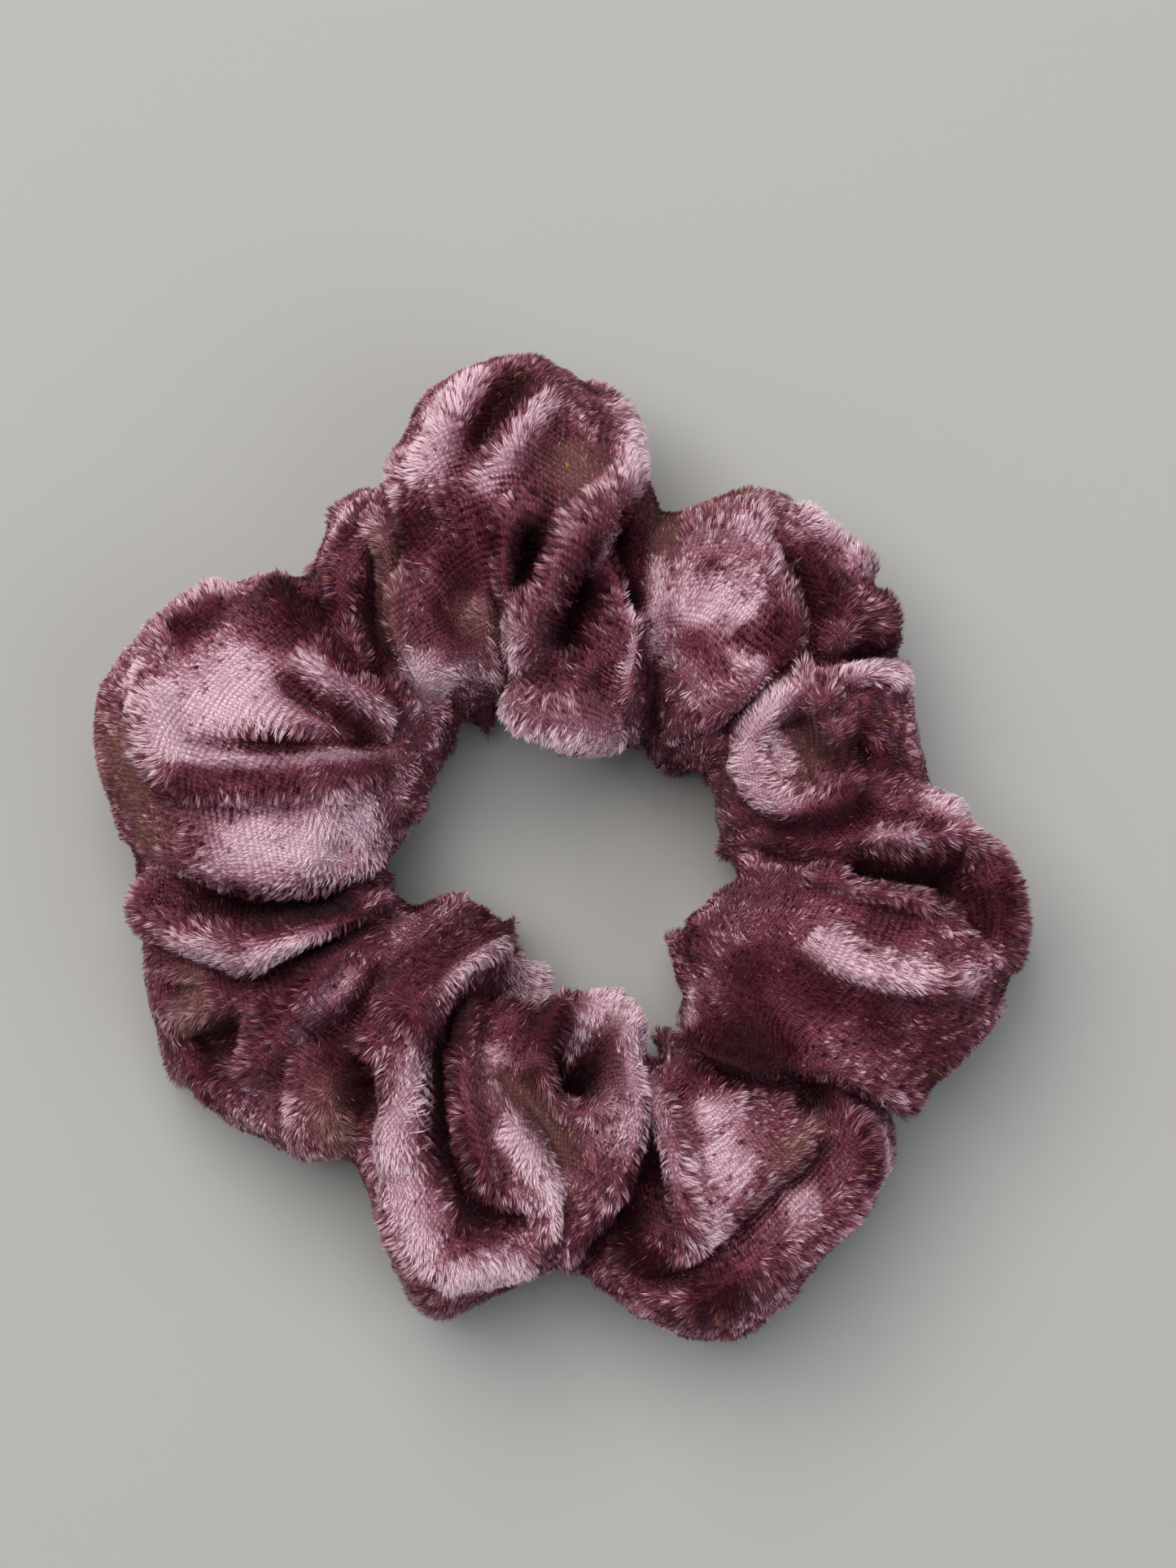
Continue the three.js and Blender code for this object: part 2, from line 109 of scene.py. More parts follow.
# width and height in mm, then the points. A valley has a height below 0.
FOLDS = [
    # top puff
    (2.4, 1.4, [(88.2, 1.03), (85.1, 1.02), (82.3, 0.99), (80.6, 0.92), (80.8, 0.83)]),
    (2.1, 3.8, [(80.4, 0.9), (81.8, 0.77), (84.6, 0.64), (88.5, 0.5), (93.4, 0.36), (97.5, 0.22),
     (100.7, 0.1)]),
    (2.0, 3.4, [(81.1, 0.6), (77.9, 0.54), (74.4, 0.44), (71.7, 0.26), (71.1, 0.11)]),
    (2.4, 4.4, [(100.1, 0.11), (97.5, 0.06), (89.1, 0.08), (77.1, 0.09), (71.6, 0.17)]),
    (2.3, -10.0, [(83, 0.5), (83.6, 0.41), (85, 0.32), (87.2, 0.22)]),
    (1.8, -7.0, [(93.2, 0.53), (94.8, 0.47), (96, 0.4), (97.2, 0.33)]),
    (1.5, 2.8, [(90.6, 0.59), (94, 0.57), (97.7, 0.53), (99.6, 0.46), (100.6, 0.37), (100.4, 0.28)]),
    (1.0, -2.4, [(100.8, 0.51), (102.3, 0.42), (103.1, 0.31), (103.8, 0.2), (104.3, 0.08), (105.4, -0.02)]),
    (2.0, 1.6, [(92.2, 0.92), (93.2, 0.86), (94.4, 0.8), (96.8, 0.72), (99.4, 0.65)]),
    (2.2, -1.4, [(94.3, 0.93), (97.2, 0.87), (99.7, 0.79), (103.3, 0.76), (106.4, 0.71)]),
    (2.6, -1.2, [(110.8, 0.77), (109.6, 0.62), (107.6, 0.48), (107.9, 0.38), (114.5, 0.36)]),
    (2.2, 1.4, [(96.7, 0.95), (100.6, 0.92), (103.1, 0.87), (106.2, 0.8), (110.7, 0.88)]),
    (1.6, -8.0, [(79.2, 0.79), (78.7, 0.7), (77.6, 0.62), (75.4, 0.56), (73, 0.5)]),
    # small upper-left puff
    (1.8, 2.2, [(117, 0.86), (119.2, 0.73), (120.8, 0.6), (123.5, 0.49), (127.5, 0.38), (130.4, 0.22)]),
    (1.8, 1.8, [(124.1, 0.93), (127.7, 0.86), (131.7, 0.75), (133.3, 0.65), (130.7, 0.62),
     (131.9, 0.48), (134, 0.35)]),
    (1.6, -5.0, [(119.3, 0.83), (121.8, 0.72), (125.1, 0.66), (127.4, 0.58), (128.6, 0.46), (129.6, 0.31)]),
    (2.2, -4.0, [(129.2, 0.95), (132.7, 0.84), (135, 0.75)]),
    # left puff
    (1.6, 2.2, [(141.2, 0.63), (141.3, 0.55), (142.8, 0.45), (142, 0.37), (141, 0.27), (139.8, 0.18)]),
    (1.3, -1.8, [(143.8, 0.61), (145.7, 0.51), (145.3, 0.4), (144.7, 0.29), (143.3, 0.19)]),
    (1.8, 2.0, [(134.4, 0.98), (135.9, 0.8), (136.9, 0.66), (138.2, 0.52), (139.2, 0.41), (136, 0.31),
     (132.9, 0.22)]),
    (2.6, 2.7, [(153.5, 0.9), (159, 0.84), (163, 0.8), (164.3, 0.71), (163.2, 0.57), (159.7, 0.39),
     (154, 0.24), (145.5, 0.11)]),
    (1.5, -3.8, [(160.5, 0.7), (159.9, 0.58), (156.9, 0.46), (153, 0.35), (147.7, 0.24), (142.5, 0.15)]),
    (2.5, 1.2, [(137.9, 0.98), (143.3, 0.96), (148.6, 0.94), (153.2, 0.93)]),
    (5.0, 2.2, [(170.3, 0.77), (171.1, 0.58), (170.7, 0.37), (168, 0.17)]),
    # left-lower puff
    (2.0, -4.0, [(183.7, 0.68), (184.7, 0.55), (184.7, 0.41), (184.6, 0.31), (183.5, 0.21)]),
    (1.8, 3.0, [(178.2, 0.91), (182.3, 0.95), (186, 0.93), (188.7, 0.83), (190.7, 0.71), (193.3, 0.62),
     (193, 0.48), (191.5, 0.34), (190.3, 0.23), (187, 0.12), (180.7, 0.06)]),
    (2.4, 3.0, [(193.4, 0.08), (194.6, 0.21), (196, 0.32), (199.5, 0.42), (203.7, 0.51), (206.6, 0.6),
     (210, 0.7), (211.7, 0.8), (213.1, 0.9)]),
    (1.6, -3.0, [(193.7, 0.2), (196.5, 0.35), (198.1, 0.45), (200.3, 0.53), (201.9, 0.6)]),
    (2.6, -3.8, [(207.5, 0.73), (206.4, 0.82), (205.4, 0.92), (205.7, 0.96)]),
    (2.0, 1.6, [(192.4, 0.93), (194.7, 0.83), (199.2, 0.73), (202.2, 0.65)]),
    (2.0, 1.6, [(199.6, 0.96), (201.5, 0.85), (202.4, 0.73)]),
    (1.4, -1.6, [(195.4, 0.96), (197.8, 0.85), (200.4, 0.76)]),
    (1.6, -4.0, [(206.6, 0.18), (211.9, 0.29), (214.3, 0.39), (215.2, 0.48), (214.5, 0.56), (214.8, 0.62)]),
    (3.0, 1.8, [(200.5, 0.14), (205.2, 0.26), (207.1, 0.38), (210.6, 0.5), (213.3, 0.63), (214.7, 0.77)]),
    (5.0, 2.0, [(221.2, 0.9), (227.1, 0.87), (229.8, 0.82)]),
    (2.0, -4.0, [(225.6, 0.61), (230.6, 0.77), (233.7, 0.91)]),
    # roll that reaches into the hole
    (4.8, 4.4, [(244.2, -0.16), (216.2, -0.05), (220, 0.08), (224, 0.27), (225.2, 0.45)]),
    # bottom puff
    (1.7, -6.5, [(231.4, 0.16), (233.6, 0.3), (236.8, 0.4), (241.6, 0.48), (245.6, 0.55), (248.7, 0.6)]),
    (2.0, -5.5, [(245.6, 0.55), (249.2, 0.6), (253.1, 0.63), (256.1, 0.69), (259.6, 0.75), (263.6, 0.8),
     (265.8, 0.78)]),
    (1.8, 2.2, [(235.5, 0.11), (238, 0.25), (243, 0.36), (248.5, 0.44), (252.7, 0.5), (255.9, 0.6),
     (258.1, 0.69)]),
    (1.6, 1.8, [(256.3, 0.39), (261.4, 0.47), (265.4, 0.58), (267.7, 0.69), (267.9, 0.8), (266.6, 0.89)]),
    (1.8, -1.8, [(248.6, 0.24), (257.6, 0.26), (265.4, 0.38), (270.5, 0.52), (273.8, 0.64)]),
    (3.0, 1.6, [(242.7, 0.06), (255, 0.06), (263.3, 0.11)]),
    (2.4, -7.0, [(273.2, 0.05), (274.1, 0.17), (274.6, 0.29)]),
    (2.3, 6.5, [(265.5, 0.18), (268.1, 0.1), (274.9, 0.05), (282.3, 0.03), (286.9, 0.06), (288.3, 0.12)]),
    (1.8, 2.6, [(287.2, 0.03), (290.2, 0.11), (288.8, 0.22), (285.6, 0.36), (281.7, 0.53), (278.1, 0.68)]),
    (1.6, 2.0, [(264, 0.12), (266.2, 0.23), (270.6, 0.34), (276.6, 0.32), (283.1, 0.21)]),
    (3.2, 1.6, [(232.4, 0.73), (238, 0.83), (243, 0.87), (248.4, 0.88), (254.3, 0.87)]),
    (3.0, 1.2, [(251.8, 0.81), (256.9, 0.86), (262.3, 0.9), (266.6, 0.9)]),
    # bottom-right puff
    (2.0, -3.0, [(289.5, 0.33), (286.7, 0.49), (281.9, 0.66), (278.4, 0.79)]),
    (1.8, 2.4, [(295.2, 0.1), (292.8, 0.23), (292.1, 0.36), (291.3, 0.48), (290, 0.61), (289.1, 0.71)]),
    (1.5, -2.8, [(278.7, 0.9), (283.5, 0.87), (289.1, 0.8), (294.6, 0.75), (300.9, 0.74), (306.6, 0.75),
     (312.2, 0.75), (317.3, 0.72)]),
    (2.4, -4.0, [(321.9, 0.7), (319, 0.63), (317.7, 0.54)]),
    (2.6, 2.0, [(321.5, 0.77), (318.2, 0.83), (314.2, 0.89), (308.6, 0.91), (302.3, 0.89),
     (295.4, 0.85), (288.9, 0.87), (283, 0.94)]),
    (2.4, 1.6, [(296.5, 0.07), (305.6, 0.11), (310.7, 0.3), (314.4, 0.42)]),
    # right puff
    (2.9, -11.0, [(1.5, 0.38), (0.5, 0.5), (359.4, 0.65), (359.3, 0.78), (359.9, 0.88)]),
    (1.6, 2.4, [(4.3, 0.4), (3.4, 0.58), (3.1, 0.79), (3.5, 0.9)]),
    (1.4, -2.5, [(6.7, 0.05), (3.4, 0.2), (2.2, 0.35)]),
    (1.5, 2.6, [(358.8, 0.24), (357.7, 0.37), (356.8, 0.47), (356, 0.57), (355.4, 0.67), (354.7, 0.73)]),
    (1.5, 1.8, [(5.5, 0.49), (4.6, 0.62), (4.3, 0.75), (4.3, 0.92)]),
    (3.0, 1.6, [(5.9, 0.94), (0.7, 0.94), (355.9, 0.94), (351.1, 0.95), (347, 0.95)]),
    (2.4, -2.2, [(357.6, 0.85), (354.6, 0.85), (351.5, 0.85)]),
    (2.0, 1.6, [(345.6, 0.36), (343.7, 0.44), (342.6, 0.55), (343.1, 0.69), (344.4, 0.82), (346.7, 0.92)]),
    (2.4, -1.0, [(350.9, 0.48), (351.1, 0.6), (351.7, 0.66)]),
    (2.6, 1.8, [(15.8, 0.67), (13.1, 0.82), (9.7, 0.89), (6, 0.92)]),
    # right loop fold
    (1.9, 2.6, [(39.5, 0.56), (38.4, 0.43), (36.9, 0.29), (31.6, 0.18), (22.8, 0.21), (16.5, 0.32),
     (14.1, 0.48), (15.3, 0.63), (16.3, 0.74)]),
    (3.2, -4.0, [(33.7, 0.45), (28.8, 0.46), (23.4, 0.51), (19.7, 0.59)]),
    (2.0, 1.6, [(34, 0.52), (26.5, 0.61), (21, 0.69)]),
    (1.6, -3.0, [(32.5, 0.58), (26.7, 0.66), (21.1, 0.73), (18.2, 0.79)]),
    (1.6, 1.4, [(37.7, 0.61), (34.6, 0.74), (32, 0.86), (29.8, 0.96)]),
    (1.5, -4.5, [(40.4, 0.62), (37.7, 0.68), (36, 0.8), (33.9, 0.95), (32.9, 1.03)]),
    # right-top puff
    (1.5, -3.6, [(56.4, 0.85), (52, 0.85), (48.2, 0.81), (44.2, 0.75), (41.6, 0.68), (41.3, 0.6)]),
    (2.0, 1.8, [(57.4, 0.96), (52.5, 0.98), (47.3, 0.99), (44.3, 0.97)]),
    (1.8, 0.9, [(43.9, 0.79), (41.7, 0.9), (39.8, 0.97), (38.5, 1.01)]),
    (3.0, 1.0, [(71.7, 0.87), (63.9, 0.86), (58.5, 0.91)]),
    # more light and dark of the pile
    (1.6, 2.0, [(35.6, 0.54), (28.5, 0.62), (22.6, 0.71)]),
    (3.4, 2.4, [(210.5, -0.17), (234.7, -0.23), (252.3, -0.13), (256.9, -0.07)]),
]

# Where one puff lies over the next: how far its edge stands up and leans over, in mm, how deep
# the cleft beside it is, a point on the raised side, then the edge.
LAPS = [
    (2.0, 0.8, 3.0, (74, 0.25), [(73.6, 0.52), (70.5, 0.38), (66.6, 0.21), (63.6, 0.1), (59.8, -0.02)]),
    (3.0, 1.2, 3.0, (109.2, 0.56), [(111.6, 0.98), (112.2, 0.87), (113.4, 0.71), (115.6, 0.61),
     (120.6, 0.53), (124.2, 0.41), (125.3, 0.3), (128.5, 0.16)]),
    (2.5, 1.0, 4.5, (142.1, 0.66), [(133, 0.94), (134.8, 0.79), (135.5, 0.68), (136.7, 0.56),
     (138.2, 0.44), (136.4, 0.34), (133.6, 0.26)]),
    (4.0, 2.0, 4.5, (171.1, 0.58), [(176.3, 0.95), (177.4, 0.85), (178.6, 0.75), (181.2, 0.62),
     (182.8, 0.49), (182.9, 0.35), (183.6, 0.28), (179.3, 0.18), (174.4, 0.08), (165.9, 0.03)]),
    (1.5, 1.2, 2.5, (188.3, 0.64), [(188.2, 0.91), (191.6, 0.82), (194.6, 0.73), (197.8, 0.65),
     (197.1, 0.56), (195.7, 0.42), (194.2, 0.28), (191.5, 0.13)]),
    (2.2, 1.0, 5.0, (215.7, 0.02), [(262.3, -0.12), (245, -0.03), (235.4, 0.04), (231.2, 0.13),
     (231.6, 0.22), (233.6, 0.33), (235.8, 0.42)]),
    (3.0, 0.6, 5.0, (241.7, 0.63), [(220, 0.54), (227.3, 0.56), (232.8, 0.71), (236.5, 0.79),
     (240.8, 0.88)]),
    (2.5, 1.2, 4.5, (280.4, 0.37), [(292.2, 0.05), (290.4, 0.18), (288.4, 0.29), (284.6, 0.43),
     (280.9, 0.59), (277.8, 0.73), (273.6, 0.92), (271.2, 1)]),
    (3.8, 1.6, 3.8, (333.8, 0.55), [(314, -0.05), (310.8, 0.11), (313.4, 0.27), (316.8, 0.4),
     (320.3, 0.53), (323.8, 0.71), (325.2, 0.85), (326.3, 0.96), (328, 1.02)]),
    (1.6, 0.8, 2.5, (295.9, 0.49), [(295.1, 0.05), (291.8, 0.2), (291.2, 0.33), (290.1, 0.48),
     (288.5, 0.64)]),
    (2.0, 0.8, 3.5, (51.7, 0.38), [(44.7, 0.13), (43, 0.2), (42.5, 0.3), (42.8, 0.41), (43.4, 0.51),
     (42.7, 0.58)]),
    (1.2, 0.8, 1.0, (349.5, 0.49), [(1, 0.24), (358.9, 0.37), (357.9, 0.47), (357.1, 0.57),
     (356.6, 0.67), (355.9, 0.74)]),
]

# Broad hollows: direction, place across, half-length along and across in mm, depth.
HOLLOWS = [
    (88.4, 0.76, 2.2, 4.6, 2.4),
    (152.1, 0.7, 7, 7, 1.8),
    (302.5, 0.48, 5, 6, 1.2),
    (274.4, 0.19, 2.2, 2.6, 16),
]


# Painted light and shade on the pile: painted sheen and highlights where the crushed pile lies flat and
# shines (above 0), painted shade in creases and where it stands up and looks dark (below 0): half-width in
# mm, how much, then the points.
LIGHT_AND_SHADE_STROKES = [
    # top puff
    (1.8, -2.2, [(93.2, 0.53), (94.8, 0.47), (96, 0.4), (97.4, 0.32)]),
    (2.2, -2.6, [(83.1, 0.51), (83.6, 0.41), (85, 0.32), (86.7, 0.22)]),
    (2.2, 1.0, [(97.2, 0.97), (100.6, 0.92), (103.3, 0.85), (106.8, 0.79), (110.3, 0.88)]),
    (1.6, 1.0, [(92.2, 0.92), (93.2, 0.86), (94.8, 0.79), (97.2, 0.71), (99.9, 0.65), (101.2, 0.57)]),
    (2.8, -1.3, [(93.7, 0.95), (96.2, 0.88), (99, 0.81), (101.6, 0.75)]),
    (3.0, -1.3, [(110.8, 0.8), (111.4, 0.7), (110.1, 0.56), (108.9, 0.42), (112.4, 0.37), (117.2, 0.35)]),
    (1.2, 1.0, [(112.2, 0.91), (112.6, 0.84), (113.3, 0.73)]),
    (2.0, 0.7, [(82.6, 1.04), (80.6, 0.99), (80.6, 0.87), (82.2, 0.75)]),
    (1.6, 0.5, [(86.1, 0.61), (90.7, 0.46), (94.6, 0.35)]),
    (1.4, -0.6, [(83.9, 0.61), (87.8, 0.46), (91.5, 0.35)]),
    (1.3, 1.3, [(80.5, 0.54), (77.2, 0.5), (73.7, 0.4), (71.4, 0.23)]),
    (1.2, -0.6, [(79.3, 0.54), (76, 0.43), (73.7, 0.28)]),
    (2.2, 1.5, [(100.9, 0.09), (97.9, 0.03), (89.1, 0.05), (76.3, 0.06), (70.1, 0.12)]),
    (3.0, 0.7, [(122.9, 0.4), (124.7, 0.3), (123.8, 0.18), (113.8, 0.1), (105.9, 0.15)]),
    (2.2, -1.4, [(79.7, 0.78), (78.5, 0.68), (76.7, 0.59)]),
    # small upper-left puff
    (2.6, -1.3, [(121.2, 0.94), (120.1, 0.85)]),
    (1.6, -1.0, [(120.8, 0.76), (123.8, 0.67), (127.4, 0.53), (129.6, 0.37)]),
    (2.0, -0.5, [(126.5, 0.89), (130.5, 0.78), (131.7, 0.64)]),
    (2.4, -1.4, [(129.2, 0.95), (132.9, 0.84), (134.8, 0.72)]),
    # left puff
    (2.0, 0.9, [(135.9, 0.92), (138.7, 0.95), (142.7, 0.95), (146.9, 0.95)]),
    (2.2, -1.0, [(140.9, 0.91), (143.5, 0.92), (146.2, 0.91), (149.4, 0.92)]),
    (2.6, -1.1, [(134.8, 0.96), (135.9, 0.84), (137.4, 0.7), (138.4, 0.58), (139, 0.47), (135.9, 0.35),
     (133.6, 0.26)]),
    (1.3, 1.3, [(141.6, 0.63), (141.3, 0.55), (142.8, 0.45), (142, 0.37), (141, 0.27), (139.8, 0.18)]),
    (4.5, 0.9, [(143.7, 0.77), (150, 0.68), (156.3, 0.65)]),
    (2.8, 0.9, [(152.7, 0.86), (156.3, 0.81), (159.8, 0.76), (161.5, 0.71)]),
    (2.0, -0.7, [(154, 0.92), (158.5, 0.87), (162.9, 0.84)]),
    (2.0, -0.9, [(144.5, 0.61), (145.8, 0.48), (144.7, 0.35), (143.2, 0.22)]),
    (1.8, -0.8, [(158.5, 0.58), (156.1, 0.47), (152.7, 0.35)]),
    (2.0, 0.6, [(154.2, 0.58), (151.3, 0.46), (149, 0.33)]),
    (2.0, -0.6, [(165.3, 0.76), (164.4, 0.61), (161.2, 0.43), (154.3, 0.24), (146.2, 0.11)]),
    (4.5, 1.0, [(173, 0.69), (173.2, 0.51), (172.5, 0.32), (167.5, 0.15), (157.4, 0.1)]),
    # left-lower puff
    (1.4, 1.2, [(188.4, 0.88), (191.4, 0.79), (194.4, 0.7), (195.9, 0.63), (195.1, 0.5), (193.4, 0.34),
     (191.8, 0.2)]),
    (1.6, 0.6, [(179.2, 0.95), (178.1, 0.88), (179.8, 0.77), (181.7, 0.64)]),
    (2.4, -1.4, [(183.6, 0.86), (184.2, 0.68), (185.1, 0.47), (185.5, 0.28), (181.9, 0.16)]),
    (1.6, -0.7, [(190.1, 0.6), (189.8, 0.39), (187.5, 0.16)]),
    (2.2, -0.9, [(194.9, 0.12), (196.5, 0.25), (198.6, 0.38), (203.2, 0.49), (206.8, 0.6), (210.9, 0.73)]),
    (1.8, 0.5, [(205.1, 0.28), (207.1, 0.38), (210.6, 0.53), (214, 0.66)]),
    (3.0, -1.5, [(206.8, 0.78), (206, 0.87), (207.1, 0.95)]),
    (3.0, -1.1, [(215.4, 0.54), (221, 0.58), (227.5, 0.67), (232.9, 0.89)]),
    (2.4, 0.3, [(213.4, 0.89), (218.8, 0.9), (224.5, 0.93)]),
    # roll that reaches into the hole
    (4.6, -0.5, [(221.4, -0.15), (218.1, -0.02), (221.4, 0.15), (224, 0.31), (225.5, 0.47)]),
    (1.5, -1.9, [(233, 0.16), (233.6, 0.3), (236.3, 0.4), (242.1, 0.49), (245.9, 0.55)]),
    (1.0, 1.2, [(257.1, -0.13), (241.2, -0.05), (231, 0.03), (228.3, 0.13), (228.9, 0.22),
     (231.1, 0.32), (234, 0.43)]),
    (1.6, 0.4, [(192.7, 0.04), (200.1, 0.12), (205.7, 0.19)]),
    (2.6, -0.8, [(192.4, -0.07), (196.7, -0.14)]),
    # bottom puff
    (3.4, 1.1, [(232.5, 0.69), (238.4, 0.79), (243.6, 0.83), (249.1, 0.84), (254.4, 0.88)]),
    (2.0, 1.0, [(230.9, 0.38), (234.4, 0.5), (238.8, 0.57), (243.9, 0.64)]),
    (2.0, -1.5, [(238.8, 0.43), (243.6, 0.53), (248.7, 0.6), (253.5, 0.63), (256.9, 0.71), (262.8, 0.8)]),
    (1.8, -0.9, [(242.7, 0.06), (241.4, 0.19), (243, 0.36)]),
    (1.8, -0.4, [(250.1, 0.42), (254.3, 0.51), (257.1, 0.64)]),
    (2.0, 1.3, [(255, 0.38), (260.7, 0.47), (264.5, 0.58), (266.6, 0.69), (267.4, 0.79)]),
    (1.2, 0.9, [(268.7, 0.63), (269.1, 0.75), (268.2, 0.86)]),
    (2.4, -0.8, [(252.1, 0.08), (262.3, 0.11), (265.5, 0.19)]),
    (2.0, 1.0, [(268.5, 0.05), (279, 0.02), (287.8, 0.04), (289.9, 0.12), (288.5, 0.24)]),
    (2.6, 0.5, [(280.7, 0.34), (280.8, 0.47)]),
    (3.0, 0.9, [(253.7, 0.91), (258.4, 0.91), (264.4, 0.91)]),
    (2.5, -0.6, [(252.6, 0.78), (257.3, 0.78)]),
    (2.4, -2.4, [(272.9, 0.11), (274.5, 0.25)]),
    # bottom-right puff
    (3.6, 1.2, [(299.1, 0.37), (300, 0.51), (301.3, 0.62)]),
    (2.2, 1.2, [(298.7, 0.28), (304.9, 0.32), (309.1, 0.37)]),
    (1.6, 1.0, [(294.3, 0.58), (294.1, 0.68), (292.8, 0.75)]),
    (3.0, -1.4, [(282.4, 0.6), (280.5, 0.78), (284.1, 0.81), (287.8, 0.74)]),
    (2.4, -1.0, [(286.9, 0.88), (290.9, 0.86), (295.2, 0.86)]),
    (2.4, -1.0, [(286.6, 0.42), (284.5, 0.53)]),
    (2.6, -1.3, [(321.2, 0.67), (318.5, 0.6), (319.1, 0.7)]),
    (2.4, -0.7, [(320.5, 0.81), (317.5, 0.89), (312.8, 0.92)]),
    (2.0, 0.8, [(324, 0.94), (321.4, 0.98), (317.2, 0.99), (312.2, 1.01), (307, 1.01)]),
    (2.0, 1.0, [(302.9, 0.79), (306.8, 0.82), (308.5, 0.85)]),
    (2.4, -0.6, [(302.5, 0.13), (307.4, 0.22), (311.1, 0.33)]),
    (1.4, 0.6, [(295.2, 0.1), (292.1, 0.25), (291.5, 0.38), (289.9, 0.53)]),
    (2.3, -1.8, [(273.2, 0.15), (275.1, 0.22)]),
    # right puff
    (1.6, 1.2, [(6.3, 0.51), (4.2, 0.59), (3.3, 0.71), (3.3, 0.87)]),
    (2.4, 1.1, [(11.7, 0.85), (8.6, 0.89), (4.9, 0.92)]),
    (2.2, -0.9, [(6.2, 0.72), (4.9, 0.8)]),
    (2.4, -1.0, [(15, 0.16), (10.4, 0.32), (10.3, 0.5), (12.6, 0.61), (13.8, 0.72)]),
    (1.5, 0.9, [(357, 0.37), (356.3, 0.5), (355.7, 0.62), (355.1, 0.72)]),
    (1.8, -0.6, [(351.6, 0.48), (352.3, 0.61), (352.3, 0.68)]),
    (2.2, 1.3, [(346.8, 0.36), (343.2, 0.47), (341.7, 0.58), (342.9, 0.69), (345.4, 0.81)]),
    (2.2, 0.8, [(343.4, 0.83), (345.5, 0.9), (348.1, 0.95)]),
    (3.0, -1.1, [(358.7, 0.89), (354.7, 0.89), (352.1, 0.85)]),
    (4.5, -0.5, [(338.1, 0.2), (333.9, 0.33), (329.6, 0.49), (331.5, 0.7)]),
    (3.4, -1.1, [(314.7, 0.07), (316.1, 0.22), (319.4, 0.39), (323.1, 0.6)]),
    (2.6, 0.3, [(325.9, 0.12), (325.9, 0.22)]),
    (3.0, -0.3, [(333.7, 0.87), (333.7, 0.98)]),
    (2.2, -0.5, [(337, 0.05), (326, 0.07)]),
    (2.6, -2.4, [(1.1, 0.39), (0.2, 0.52), (359.9, 0.68), (0.5, 0.88)]),
    # right loop fold
    (1.6, 1.1, [(39.6, 0.58), (38.8, 0.46), (37.8, 0.34), (36.1, 0.23), (29.9, 0.17), (22.3, 0.21),
     (16.1, 0.32), (15, 0.46)]),
    (2.0, 1.0, [(34.1, 0.33), (27.3, 0.32), (21.3, 0.36)]),
    (1.8, -1.0, [(21.9, 0.59), (20.2, 0.65)]),
    (2.0, 0.4, [(22.5, 0.47), (18.9, 0.56)]),
    (1.4, 1.1, [(36.5, 0.66), (33.6, 0.8), (29.6, 0.99), (26.9, 1.03)]),
    (3.0, -1.1, [(27.4, 0.66), (22.1, 0.78), (17.4, 0.92)]),
    (2.0, -1.1, [(37.2, 0.78), (34.6, 0.96), (34, 1.02)]),
    # right-top puff
    (4.0, 0.3, [(69.1, 0.82), (62.6, 0.68), (56.4, 0.56)]),
    (2.4, 0.8, [(58.8, 0.96), (52.5, 0.98), (46.9, 0.98), (43.9, 0.96)]),
    (2.2, -1.0, [(54.6, 0.87), (50.1, 0.87), (45.5, 0.83), (43, 0.74)]),
    (2.2, -0.5, [(41.7, 0.9), (37.6, 1.01)]),
    (2.6, -0.7, [(51.2, 0.62), (45.6, 0.6), (46.8, 0.44)]),
    (3.0, -0.7, [(63.8, 0.39), (57.4, 0.31), (56.4, 0.2)]),
    (2.2, 0.7, [(63.1, 0.53), (54.8, 0.53), (50.6, 0.56)]),
    (2.0, 0.7, [(63.9, 0.27), (55.3, 0.27), (48.9, 0.2)]),
    # more painted light and shade of the pile
    (5.0, 0.5, [(162.9, 0.08), (171.8, 0.32), (171.1, 0.58)]),
    (4.0, 0.5, [(146.8, 0.68), (147.2, 0.56), (147.8, 0.45)]),
    (2.6, 0.4, [(68.7, 0.63), (59.4, 0.55), (56.1, 0.74)]),
    (3.0, 0.5, [(334.7, 0.35), (329.6, 0.49), (329.2, 0.74)]),
    (5.0, -0.4, [(336.2, 0.62), (337.8, 0.8), (342.6, 0.93)]),
    (2.0, 0.8, [(106.7, 0.59), (111.3, 0.56), (110.4, 0.37), (102.6, 0.22)]),
    (2.0, -0.8, [(102.6, 0.62), (101.7, 0.52), (101, 0.44)]),
    (2.5, -0.6, [(306, 0.2), (313.7, 0.35)]),
    (3.0, 0.7, [(281.7, 0.38), (285.5, 0.23)]),
    (2.2, 0.7, [(254.7, 0.23), (247.3, 0.19)]),
    (3.0, -0.8, [(93.3, 0.97), (96.3, 0.86), (100.5, 0.77)]),
    (2.4, -0.7, [(334.7, 0.35), (335.1, 0.53), (337.3, 0.76)]),
    (2.0, -0.7, [(259, 0.22), (264.2, 0.3)]),
    (2.0, 0.8, [(255.3, 0.8), (260, 0.92), (265.6, 0.93)]),
    (2.4, -0.7, [(195.8, 0.78), (200.5, 0.66)]),
    (2.0, 0.7, [(63.2, 0.82), (56.7, 0.8)]),
    (2.4, -0.9, [(53.9, 0.49), (50.3, 0.5)]),
    (1.6, 0.9, [(152.5, 0.95), (156.2, 0.92), (160.4, 0.86)]),
    (3.0, 0.6, [(154.1, 0.77), (157.2, 0.69), (155.4, 0.57)]),
    (1.2, 0.9, [(73.7, 0.87), (69.9, 0.52), (64.3, 0.21)]),
    (1.0, 0.9, [(54.6, 0.44), (46.8, 0.44), (46.3, 0.5)]),
    (1.0, 0.9, [(66.5, 0.5), (61.1, 0.45), (58.4, 0.52)]),
    (1.0, 0.9, [(53.6, 0.67), (53.8, 0.59), (55.6, 0.53)]),
